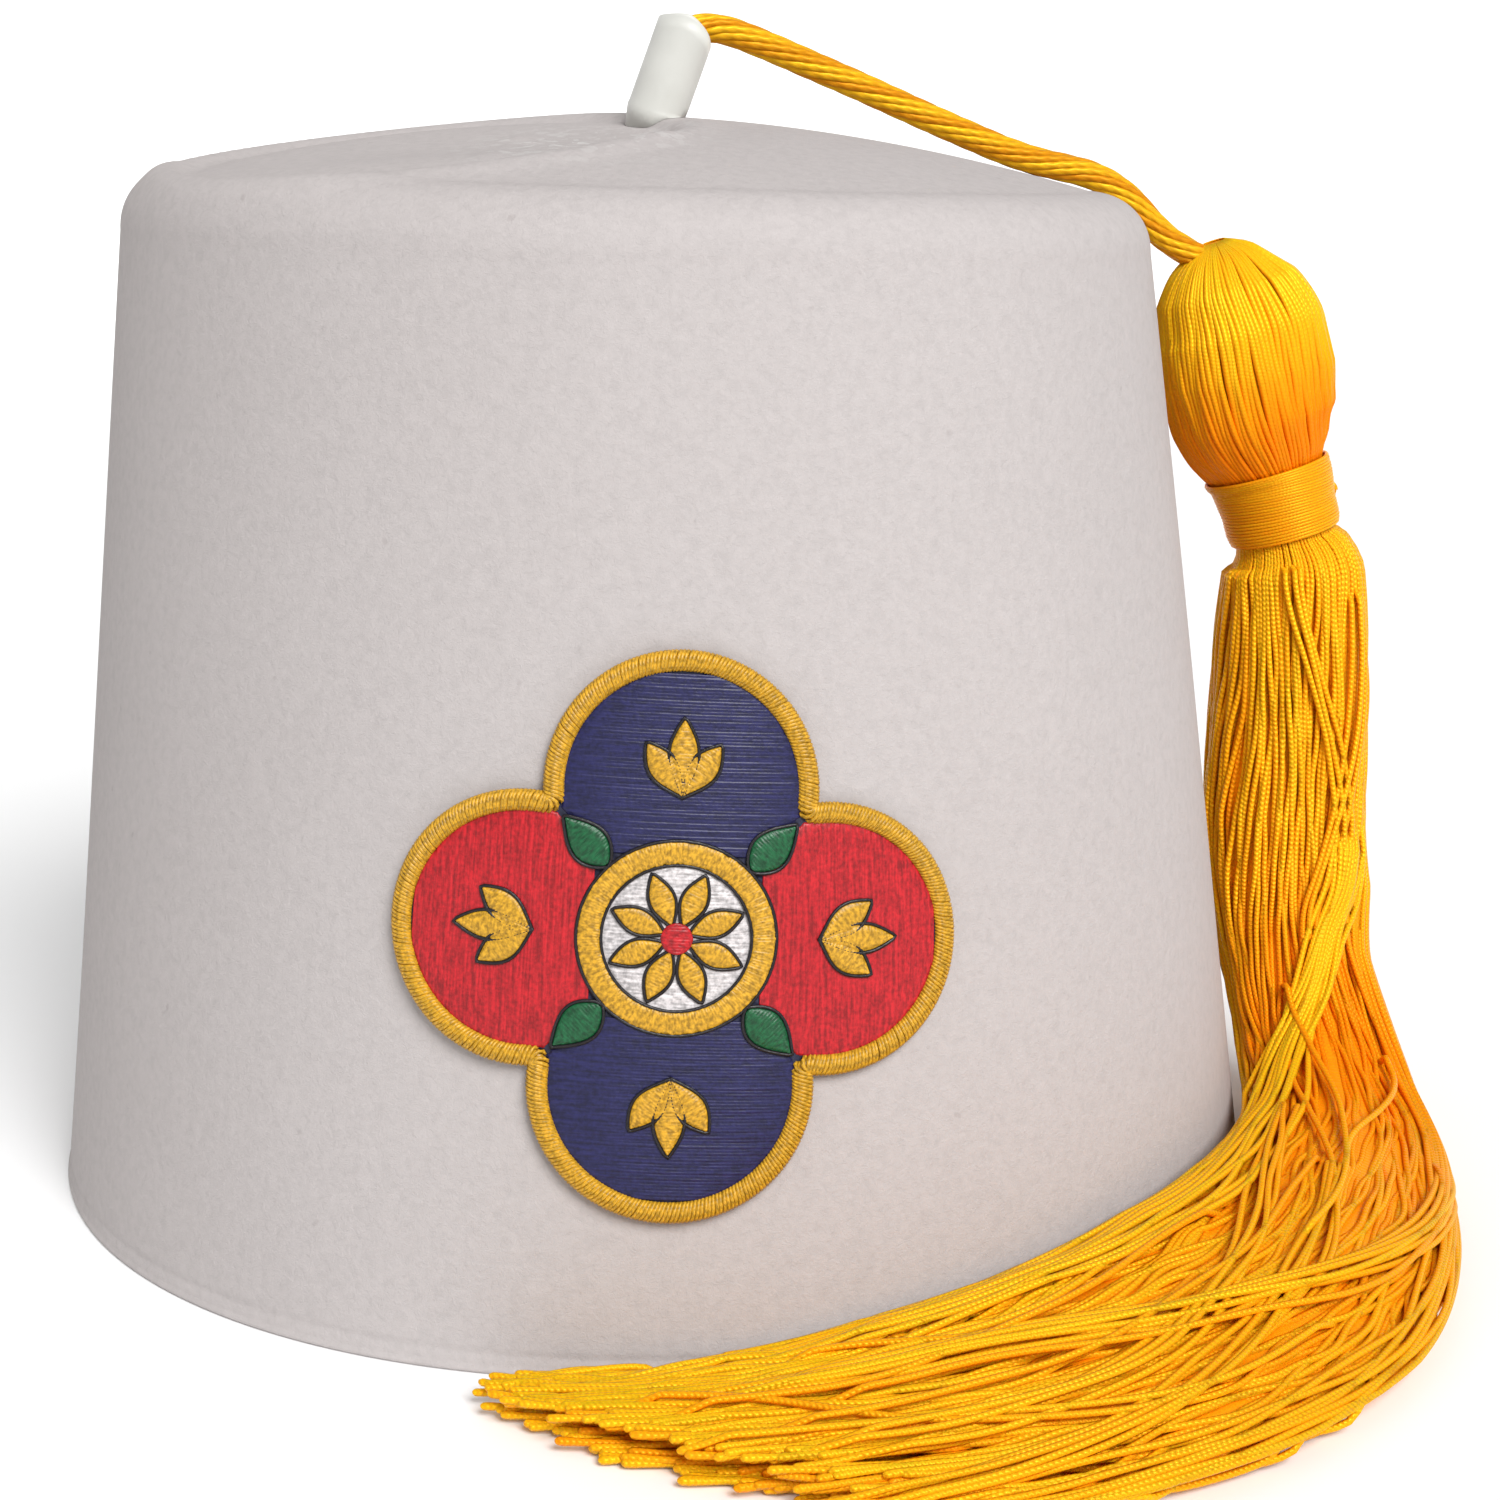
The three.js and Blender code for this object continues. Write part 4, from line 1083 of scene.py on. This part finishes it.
# %% From the patch's flat plan to the wall
PATCH_TURN, PATCH_HEIGHT, PATCH_TILT = math.radians(-87.8), 0.057, math.radians(-3.5)
LOBE_OFFSET, LOBE_RADIUS = 0.0185, 0.0155
wall_lean = math.atan((RIM_RADIUS - TOP_RADIUS) / WALL_HEIGHT)


def on_wall(plan, out):
    """Plan turned by the tilt, then up = height on the cone and right = angle round it, out square to it."""
    right = plan[..., 0] * math.cos(PATCH_TILT) - plan[..., 1] * math.sin(PATCH_TILT)
    up = plan[..., 0] * math.sin(PATCH_TILT) + plan[..., 1] * math.cos(PATCH_TILT)
    height = PATCH_HEIGHT + up * math.cos(wall_lean)
    radius = wall_radius(height) + out * math.cos(wall_lean)
    turn = PATCH_TURN + right / wall_radius(PATCH_HEIGHT)
    return felt_point(turn, radius, height + out * math.sin(wall_lean))


def patch_edge(angle):
    """Distance from the middle to the edge of four circles set round it."""
    quarter = math.pi / 2
    from_lobe = angle - quarter * np.round(angle / quarter)
    across = LOBE_OFFSET * np.sin(from_lobe)
    return LOBE_OFFSET * np.cos(from_lobe) + np.sqrt(LOBE_RADIUS**2 - across**2)


def polar(distance, angle):
    """Flat point at a distance and an angle from the patch's middle."""
    return np.stack([distance * np.cos(angle), distance * np.sin(angle)], -1)

# %% [markdown]
# ## The patch's ground and its fields of stitches
#
# A patch is embroidered on a stiff cloth. Satin stitches are threads that lie side by side from one edge
# of a shape to the other, so a field is a ribbon that is carried along the shape: at each step it spans
# from the left edge to the right, crowned in the middle, and a ridge comes round once for each thread.
# The ends of the threads are a little uneven, as real ones are. The design is a plain rosette with buds
# and leaves.

# %% Stitched fields
THREAD_WIDTH = 0.00042
SAMPLES_PER_THREAD = 4
GROUND_TOP = 0.00115
END_WOBBLE, LIFT_WOBBLE, RIDGE_HEIGHT, RIDGE_PROFILE = 0.00007, 0.000015, 0.000055, (0.0, 0.6, 1.0, 0.6)
# fields narrower than this keep even ends, and a field's underside lies this far below its base
NARROW_SPAN, UNDERSIDE = 0.0012, 0.0001
OUTLINE_RADIUS, OUTLINE_SIDES, OUTLINE_STEP, OUTLINE_GAP = 0.00024, 5, 0.0004, 0.00012
stitch_dice = np.random.default_rng(51)


def thread_samples(length):
    """Places from 0 to 1 along a field, four for each thread."""
    return np.linspace(0, 1, SAMPLES_PER_THREAD * max(3, round(length / THREAD_WIDTH)) + 1)


def satin(left, right, base, crown_height, across_points=9, looped=False):
    """Field of threads from left[k] to right[k]: out = base + height * sqrt(1 - (2 s - 1)^4) + ridge."""
    count = len(left)
    threads = count // SAMPLES_PER_THREAD + 1
    wobble = np.repeat(stitch_dice.normal(0, END_WOBBLE, (threads, 2)), SAMPLES_PER_THREAD, 0)[:count]
    lift = np.repeat(stitch_dice.normal(0, LIFT_WOBBLE, threads), SAMPLES_PER_THREAD)[:count]
    span = np.linalg.norm(right - left, axis=-1, keepdims=True)
    direction = (right - left) / np.maximum(span, 1e-9)
    if span.min() > NARROW_SPAN:
        left, right = left + direction * wobble[:, :1], right + direction * wobble[:, 1:]
    s = 0.5 - 0.5 * np.cos(np.linspace(0, math.pi, across_points))
    crown_shape = np.sqrt(1 - (2 * s - 1) ** 4)
    ridge = np.array(RIDGE_PROFILE)[np.arange(count) % SAMPLES_PER_THREAD] * RIDGE_HEIGHT
    top_out = base + crown_shape * (crown_height + (ridge + lift)[:, None])
    under_out = np.full((count, 2), base - UNDERSIDE)
    share = np.concatenate([s, [1.0, 0.0]])
    out = np.concatenate([top_out, under_out], 1)
    plan = left[:, None] + (right - left)[:, None] * share[:, None]
    return skin(on_wall(plan, out)[None], distance_along((left + right) / 2)[None], looped=looped)


def petal(middle, angle, length, width, base, height, belly=1.0):
    """Pointed oval field: half-width = width / 2 * sin(pi t^belly), threads across its length."""
    t = thread_samples(length) * 0.96 + 0.02
    half = width / 2 * np.sin(math.pi * t**belly)
    forwards = np.array([math.cos(angle), math.sin(angle)])
    sideways = np.array([-math.sin(angle), math.cos(angle)])
    spine = middle + (t - 0.5)[:, None] * length * forwards
    return satin(spine - half[:, None] * sideways, spine + half[:, None] * sideways, base, height, 7)


def outline(points, out):
    """Closed thread round a flat loop of points."""
    around = on_wall(points, np.full(len(points), out))[None]
    normal = unit(around[0].mean(0) * [1, 1, 0])
    closed = np.concatenate([around[:, -1:], around, around[:, :1]], 1)
    tangent = unit(closed[:, 2:] - closed[:, :-2])
    sideways = unit(np.cross(tangent, normal))
    angle = even_angles(OUTLINE_SIDES)[:, None]
    square = np.cos(angle) * sideways[:, :, None] + np.sin(angle) * normal
    grid = around[:, :, None] + OUTLINE_RADIUS * square
    along = np.arange(len(points))[None] * OUTLINE_STEP
    return skin(grid, along, looped=True)


def petal_outline(middle, angle, length, width, out, belly=1.0, points=56):
    """Outline of the same pointed oval, a thread's width outside it."""
    t = np.concatenate([np.linspace(0.0, 1.0, points // 2), np.linspace(1.0, 0.0, points // 2)[1:-1]])
    side = np.concatenate([np.ones(points // 2), -np.ones(points // 2 - 2)])
    half = side * (width / 2 * np.sin(math.pi * t**belly) + OUTLINE_GAP)
    forwards = np.array([math.cos(angle), math.sin(angle)])
    sideways = np.array([-math.sin(angle), math.cos(angle)])
    plan = middle + ((t - 0.5)[:, None] * (length + 0.0004)) * forwards + half[:, None] * sideways
    return outline(plan, out)

# %% Thread colours of the patch
PATCH_COLOURS = {
    "blue": (0.011, 0.011, 0.058), "red": (0.36, 0.008, 0.013), "green": (0.006, 0.075, 0.026),
    "gold": (0.46, 0.245, 0.014), "white": (0.49, 0.46, 0.46), "black": (0.010, 0.008, 0.010),
}


def patch_thread(name, colour):
    """Shiny embroidery thread whose tone changes from thread to thread and, more finely, along each."""
    material, tree, shader = start_material("patch_" + name, 0.38, Specular_IOR_Level=0.4)
    place = object_place(tree)
    threads = node(tree, "ShaderNodeUVMap", {}, uv_map="threads").outputs["UV"]
    stretched = node(tree, "ShaderNodeMapping", {"Vector": threads, "Scale": (9.0, 2200.0, 1.0)}).outputs[0]
    by_thread = noise(tree, stretched, 1.0, 1.0)
    uneven = noise(tree, place, 1900.0, 2.0, 0.6)
    tone = calculate(tree, "MULTIPLY", calculate(tree, "ADD", by_thread, uneven), 0.5)
    # partly real tone from thread to thread and partly painted highlight: the lighter specks stand for the
    # threads' small highlights
    dark, light = (tuple(min(1.0, part * k) for part in colour) for k in (0.62, 1.5))
    paint(tree, shader, ramp(tree, tone, [(0.38, dark), (0.62, light)]))
    bump(tree, shader, tone, 0.00010, 0.8)
    return material


patch_finish = {name: patch_thread(name, colour) for name, colour in PATCH_COLOURS.items()}
print("patch threads:", ", ".join(patch_finish))

# %% The ground cloth
GROUND_SIDES, GROUND_RINGS, GROUND_HEM = 240, 16, 0.0006


def ground_skin():
    """Four-lobed slab: rings at shares of the edge's distance, first below, then above."""
    angle = even_angles(GROUND_SIDES)
    share = np.linspace(0.02, 1, GROUND_RINGS)
    reach = patch_edge(angle) + GROUND_HEM
    levels = [(share, 0.00032), (share[::-1], GROUND_TOP)]
    grid = np.concatenate([on_wall(polar(level[:, None] * reach, angle), out) for level, out in levels])
    return skin(grid[None], np.linspace(0, 1, len(grid))[None])


ground, tree, shader = start_material("patch_ground", 0.75)
place = object_place(tree)
cloth = noise(tree, place, 1200.0, 2.0)
cloth_tone = ramp(tree, cloth, [(0.3, (0.010, 0.011, 0.030)), (0.7, (0.020, 0.022, 0.055))])
paint(tree, shader, cloth_tone)
twill = node(tree, "ShaderNodeTexWave", {"Vector": place, "Scale": 420.0, "Distortion": 0.6},
             bands_direction="DIAGONAL")
bump(tree, shader, twill.outputs["Fac"], 0.0001)
patch_ground = piece("patch_ground", [ground_skin()], ground)
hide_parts("patch")

# %% [markdown]
# ## The design of the patch
#
# Four lobes in blue and red, a gold ring round a white middle with an eight-petalled rosette, a green
# leaf at each notch and a gold bud in each lobe. Each is a field or a petal from the helpers above, in
# layers that lie a few tenths of a millimetre over each other, as embroidery does.

# %% Fields of the lobes
LOBE_FIRST, LOBE_LAST = 0.0105, LOBE_OFFSET + LOBE_RADIUS - 0.0005
FIELD_HEIGHT, RING_INNER, RING_OUTER, DISC_RADIUS = 0.00030, 0.0093, 0.0124, 0.0094
FIELD_TOP, WIDE_FIELD_POINTS = GROUND_TOP + FIELD_HEIGHT, 15


def turned(plan, angle):
    """Flat points turned about the patch's middle."""
    across, up = plan[..., 0], plan[..., 1]
    return np.stack([across * math.cos(angle) - up * math.sin(angle),
                     across * math.sin(angle) + up * math.cos(angle)], -1)


def lobe_field(angle):
    """Threads across a lobe: its half-width is the circle's, or less near the notches."""
    up = LOBE_FIRST + thread_samples(LOBE_LAST - LOBE_FIRST) * (LOBE_LAST - LOBE_FIRST)
    circle = np.sqrt(np.maximum(LOBE_RADIUS**2 - (up - LOBE_OFFSET) ** 2, 1e-8)) - 0.0002
    half = np.maximum(np.minimum(circle, up - 0.0006), 0.0004)
    left, right = np.stack([-half, up], -1), np.stack([half, up], -1)
    return satin(turned(left, angle), turned(right, angle), GROUND_TOP, FIELD_HEIGHT,
                 WIDE_FIELD_POINTS)


UPWARDS = math.pi / 2
blue_fields = [lobe_field(0.0), lobe_field(math.pi)]
red_fields = [lobe_field(UPWARDS), lobe_field(-UPWARDS)]

# %% Ring, disc, rosette, leaves and buds
def round_field(radius, share, base, height, across_points=9):
    """Threads across a circle, from one share of its radius below the middle to the same above it."""
    up = (thread_samples(2 * radius) * 2 - 1) * radius * share
    half = np.sqrt(radius**2 - up**2)
    left, right = np.stack([-half, up], -1), np.stack([half, up], -1)
    return satin(left, right, base, height, across_points)


ring_angle = thread_samples(TURN * RING_OUTER)[:-1] * TURN
RING_BASE, RING_HEIGHT = GROUND_TOP + 0.00022, 0.00042
ring_field = satin(polar(RING_INNER, ring_angle), polar(RING_OUTER, ring_angle), RING_BASE, RING_HEIGHT,
                   looped=True)
disc_field = round_field(DISC_RADIUS, 0.995, GROUND_TOP, FIELD_HEIGHT, WIDE_FIELD_POINTS)

PETAL_COUNT, PETAL_MIDDLE, PETAL_LENGTH, PETAL_WIDTH, PETAL_HEIGHT = 8, 0.0052, 0.0068, 0.0031, 0.0003
HEART_RADIUS, HEART_BASE, HEART_HEIGHT = 0.0020, GROUND_TOP + 0.00055, 0.0003
OUTLINE_LEVEL, BUD_OUTLINE_LEVEL, CIRCLE_POINTS = GROUND_TOP + 0.00040, GROUND_TOP + 0.00045, 150
LEAF_MIDDLE, LEAF_LENGTH, LEAF_WIDTH, LEAF_BELLY = 0.0166, 0.0080, 0.0048, 0.8
LEAF_BASE, LEAF_HEIGHT = GROUND_TOP + 0.0002, 0.0004
BUD_FOOT, BUD_LENGTH, BUD_WIDTH, BUD_BELLY = 0.0180, 0.0098, 0.0036, 1.15
# the two outer buds of three are shorter
BUD_HEIGHT, BUD_SPREAD, SIDE_BUD = 0.00035, 0.62, 0.82
gold_fields, outlines, green_fields = [ring_field], [], []
for number in range(PETAL_COUNT):
    angle = (number + 0.5) / PETAL_COUNT * TURN
    middle = polar(PETAL_MIDDLE, np.array(angle))
    gold_fields.append(petal(middle, angle, PETAL_LENGTH, PETAL_WIDTH, FIELD_TOP, PETAL_HEIGHT))
    outlines.append(petal_outline(middle, angle, PETAL_LENGTH, PETAL_WIDTH, OUTLINE_LEVEL))
for quarter in range(4):
    notch = (quarter + 0.5) * UPWARDS
    middle = polar(LEAF_MIDDLE, np.array(notch))
    leaf = petal(middle, notch, LEAF_LENGTH, LEAF_WIDTH, LEAF_BASE, LEAF_HEIGHT, LEAF_BELLY)
    green_fields.append(leaf)
    outlines.append(petal_outline(middle, notch, LEAF_LENGTH, LEAF_WIDTH, OUTLINE_LEVEL, LEAF_BELLY))
    lobe = quarter * UPWARDS
    for lean in (-BUD_SPREAD, 0.0, BUD_SPREAD):
        heading = lobe + lean
        length = BUD_LENGTH * (1.0 if lean == 0 else SIDE_BUD)
        middle = polar(BUD_FOOT, np.array(lobe)) + polar(length / 2, np.array(heading))
        bud = petal(middle, heading, length, BUD_WIDTH, FIELD_TOP, BUD_HEIGHT, BUD_BELLY)
        gold_fields.append(bud)
        outlines.append(petal_outline(middle, heading, length, BUD_WIDTH, BUD_OUTLINE_LEVEL, BUD_BELLY))
for radius in (RING_INNER, RING_OUTER):
    outlines.append(outline(polar(radius, even_angles(CIRCLE_POINTS)), OUTLINE_LEVEL))
red_fields.append(round_field(HEART_RADIUS, 0.99, HEART_BASE, HEART_HEIGHT))

fields = {"blue": blue_fields, "red": red_fields, "white": [disc_field], "gold": gold_fields,
          "green": green_fields, "black": outlines}
for colour, skins in fields.items():
    piece("patch_" + colour, skins, patch_finish[colour])

# %% [markdown]
# ## The patch's edging
#
# The edge is overlocked: thread goes over it again and again, slanting a little, so the border looks like
# a row of fine beads. Each wrap is a short arc of thread over a soft core, and all of them are one array
# of tubes, spaced evenly by the edge's real length. The line they follow is the patch's edge blurred a
# little, since a border turns the sharp corner of a notch in a small curve.

# %% The line of the edging
EDGING_WIDTH, EDGING_HEIGHT, EDGING_OFFSET, EDGING_BLUR = 0.0026, 0.0018, 0.0012, 0.0009
LINE_POINTS = 4096


def even_loop(points):
    """The closed flat curve again, with its points at equal distances, and its length."""
    closed = np.concatenate([points, points[:1]])
    distance = distance_along(closed)
    even = np.arange(len(points)) / len(points) * distance[-1]
    return np.stack([np.interp(even, distance, closed[:, k]) for k in range(2)], -1), distance[-1]


def blurred_loop(points, length, width):
    """Closed curve blurred along its length: Fourier term k times exp(-2 (pi k width / length)^2)."""
    terms = np.fft.fft(points[:, 0] + 1j * points[:, 1])
    count = np.fft.fftfreq(len(points), 1 / len(points))
    blurred = np.fft.ifft(terms * np.exp(-2 * (math.pi * count * width / length) ** 2))
    return np.stack([blurred.real, blurred.imag], -1)


line_angle = even_angles(LINE_POINTS)
rough_line, rough_length = even_loop(polar(patch_edge(line_angle) + EDGING_OFFSET, line_angle))
edge_line, edge_length = even_loop(blurred_loop(rough_line, rough_length, EDGING_BLUR))
edge_direction = unit(np.roll(edge_line, -1, axis=0) - np.roll(edge_line, 1, axis=0))
edge_normal = np.stack([edge_direction[:, 1], -edge_direction[:, 0]], -1)
print("the edging is", round(edge_length * 1000), "mm long")

# %% Make the edging
WRAP_SPACING, WRAP_SLANT, WRAP_RADIUS, WRAP_JITTER = 0.00048, 0.0011, 0.00030, 0.00003
WRAP_POINTS, WRAP_OVERLAP, WRAP_TUBE_SIDES = 9, 0.25, 5
EDGING_CORE_SIDES, EDGING_CORE_RINGS, EDGING_BASE = 12, 400, 0.0003
# half-widths and half-heights of the core and of the wraps' own line
CORE_HALF = (EDGING_WIDTH / 2 - 0.0003, EDGING_HEIGHT / 2 - 0.0002)
WRAP_HALF = (EDGING_WIDTH / 2 - 0.00015, EDGING_HEIGHT / 2 - 0.0001)


def over_edge(distance, around, half_width, half_height):
    """Point of the edging's round profile: across = half-width * cos, out = half-height * (1 + sin)."""
    place = (distance / edge_length % 1) * LINE_POINTS
    table = np.arange(LINE_POINTS + 1)
    middle, normal = (np.stack([np.interp(place, table, np.append(column, column[0]))
                                for column in rows.T], -1)
                      for rows in (edge_line, edge_normal))
    plan = middle + normal * (half_width * np.cos(around))[..., None]
    return on_wall(plan, EDGING_BASE + half_height * (1 + np.sin(around)))


core_distance = np.linspace(0, edge_length, EDGING_CORE_RINGS, endpoint=False)[:, None]
core_around = even_angles(EDGING_CORE_SIDES)[None]
core_grid = over_edge(core_distance + 0 * core_around, core_around + 0 * core_distance, *CORE_HALF)
edging_core = skin(core_grid[None], core_distance[None, :, 0], looped=True)
wrap_count = round(edge_length / WRAP_SPACING)
arc = np.linspace(-WRAP_OVERLAP, math.pi + WRAP_OVERLAP, WRAP_POINTS)[None]
wrap_jitter = np.random.default_rng(61).normal(0, WRAP_JITTER, (wrap_count, 1))
wrap_start = np.arange(wrap_count)[:, None] / wrap_count * edge_length + wrap_jitter
wrap_lines = over_edge(wrap_start + WRAP_SLANT * (arc / math.pi - 0.5), arc + 0 * wrap_start, *WRAP_HALF)
# each wrap's reference is the edge's own direction, which always lies across the wrap
ahead, behind = (over_edge(wrap_start + step, 0 * wrap_start, 0.0, 0.0)
                 for step in (WRAP_SPACING, -WRAP_SPACING))
wrap_radii = np.full(wrap_lines.shape[:2], WRAP_RADIUS)
wrap_tubes = tube(wrap_lines, wrap_radii, unit(ahead - behind), WRAP_TUBE_SIDES)
edging_finish = patch_thread("edging", (0.48, 0.26, 0.016))
edging = piece("patch_edging", [edging_core, wrap_tubes], edging_finish)
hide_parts("patch_border")

# %% [markdown]
# ## Floor and light
#
# A plain pale floor that curves up into a low round wall hides the horizon from every side. The light is
# a soft key from the front right, a bright sky above, and nothing else, so the left of the hat falls into
# a gentle shade.

# %% Make the floor
FLOOR_RADIUS, COVE_RADIUS, FLOOR_SIDES = 2.0, 0.9, 96
cove = np.linspace(0, math.pi / 2, 16)
floor_radius = np.concatenate([[0.3, 0.8, 1.4], FLOOR_RADIUS + COVE_RADIUS * np.sin(cove)])
floor_height = np.concatenate([[0.0, 0.0, 0.0], COVE_RADIUS - COVE_RADIUS * np.cos(cove)])
floor_turn = even_angles(FLOOR_SIDES)[None]
floor_points = np.stack(np.broadcast_arrays(floor_radius[:, None] * np.cos(floor_turn),
                                            floor_radius[:, None] * np.sin(floor_turn),
                                            floor_height[:, None]), -1).reshape(-1, 3)
ring_start = np.arange(len(floor_radius) - 1)[:, None] * FLOOR_SIDES
around = np.arange(FLOOR_SIDES)[None]
next_around = (around + 1) % FLOOR_SIDES
floor_faces = np.stack([ring_start + around, ring_start + FLOOR_SIDES + around,
                        ring_start + FLOOR_SIDES + next_around, ring_start + next_around], -1).reshape(-1, 4)
floor_mesh = bpy.data.meshes.new("floor")
floor_mesh.from_pydata(floor_points.tolist(), [], floor_faces.tolist() + [list(range(FLOOR_SIDES))])
floor_mesh.polygons.foreach_set("use_smooth", np.ones(len(floor_mesh.polygons), bool))
floor_finish, tree, shader = start_material("pale_floor", 0.9, (0.92, 0.92, 0.92))
floor_mesh.materials.append(floor_finish)
floor = put_in_scene("floor", floor_mesh)

# %% Set the light
KEY_DIRECTION = (math.radians(23), math.radians(41))
KEY_STRENGTH, KEY_SOFTNESS, SKY_STRENGTH = 3.55, math.radians(30), 0.38
key_data = bpy.data.lights.new("key", "SUN")
key_data.energy = KEY_STRENGTH
key_data.angle = KEY_SOFTNESS
key = put_in_scene("key", key_data)
key_turn, key_height = KEY_DIRECTION
level_part = math.cos(key_height)
towards_light = Vector((math.sin(key_turn) * level_part, -math.cos(key_turn) * level_part,
                        math.sin(key_height)))
key.rotation_euler = towards_light.to_track_quat("Z", "Y").to_euler()
world = bpy.data.worlds.new("studio")
world.use_nodes = True
sky = world.node_tree.nodes["Background"]
sky.inputs["Color"].default_value = (1.0, 1.0, 1.0, 1)
sky.inputs["Strength"].default_value = SKY_STRENGTH
bpy.context.scene.world = world
bpy.context.scene.view_settings.view_transform = "Standard"
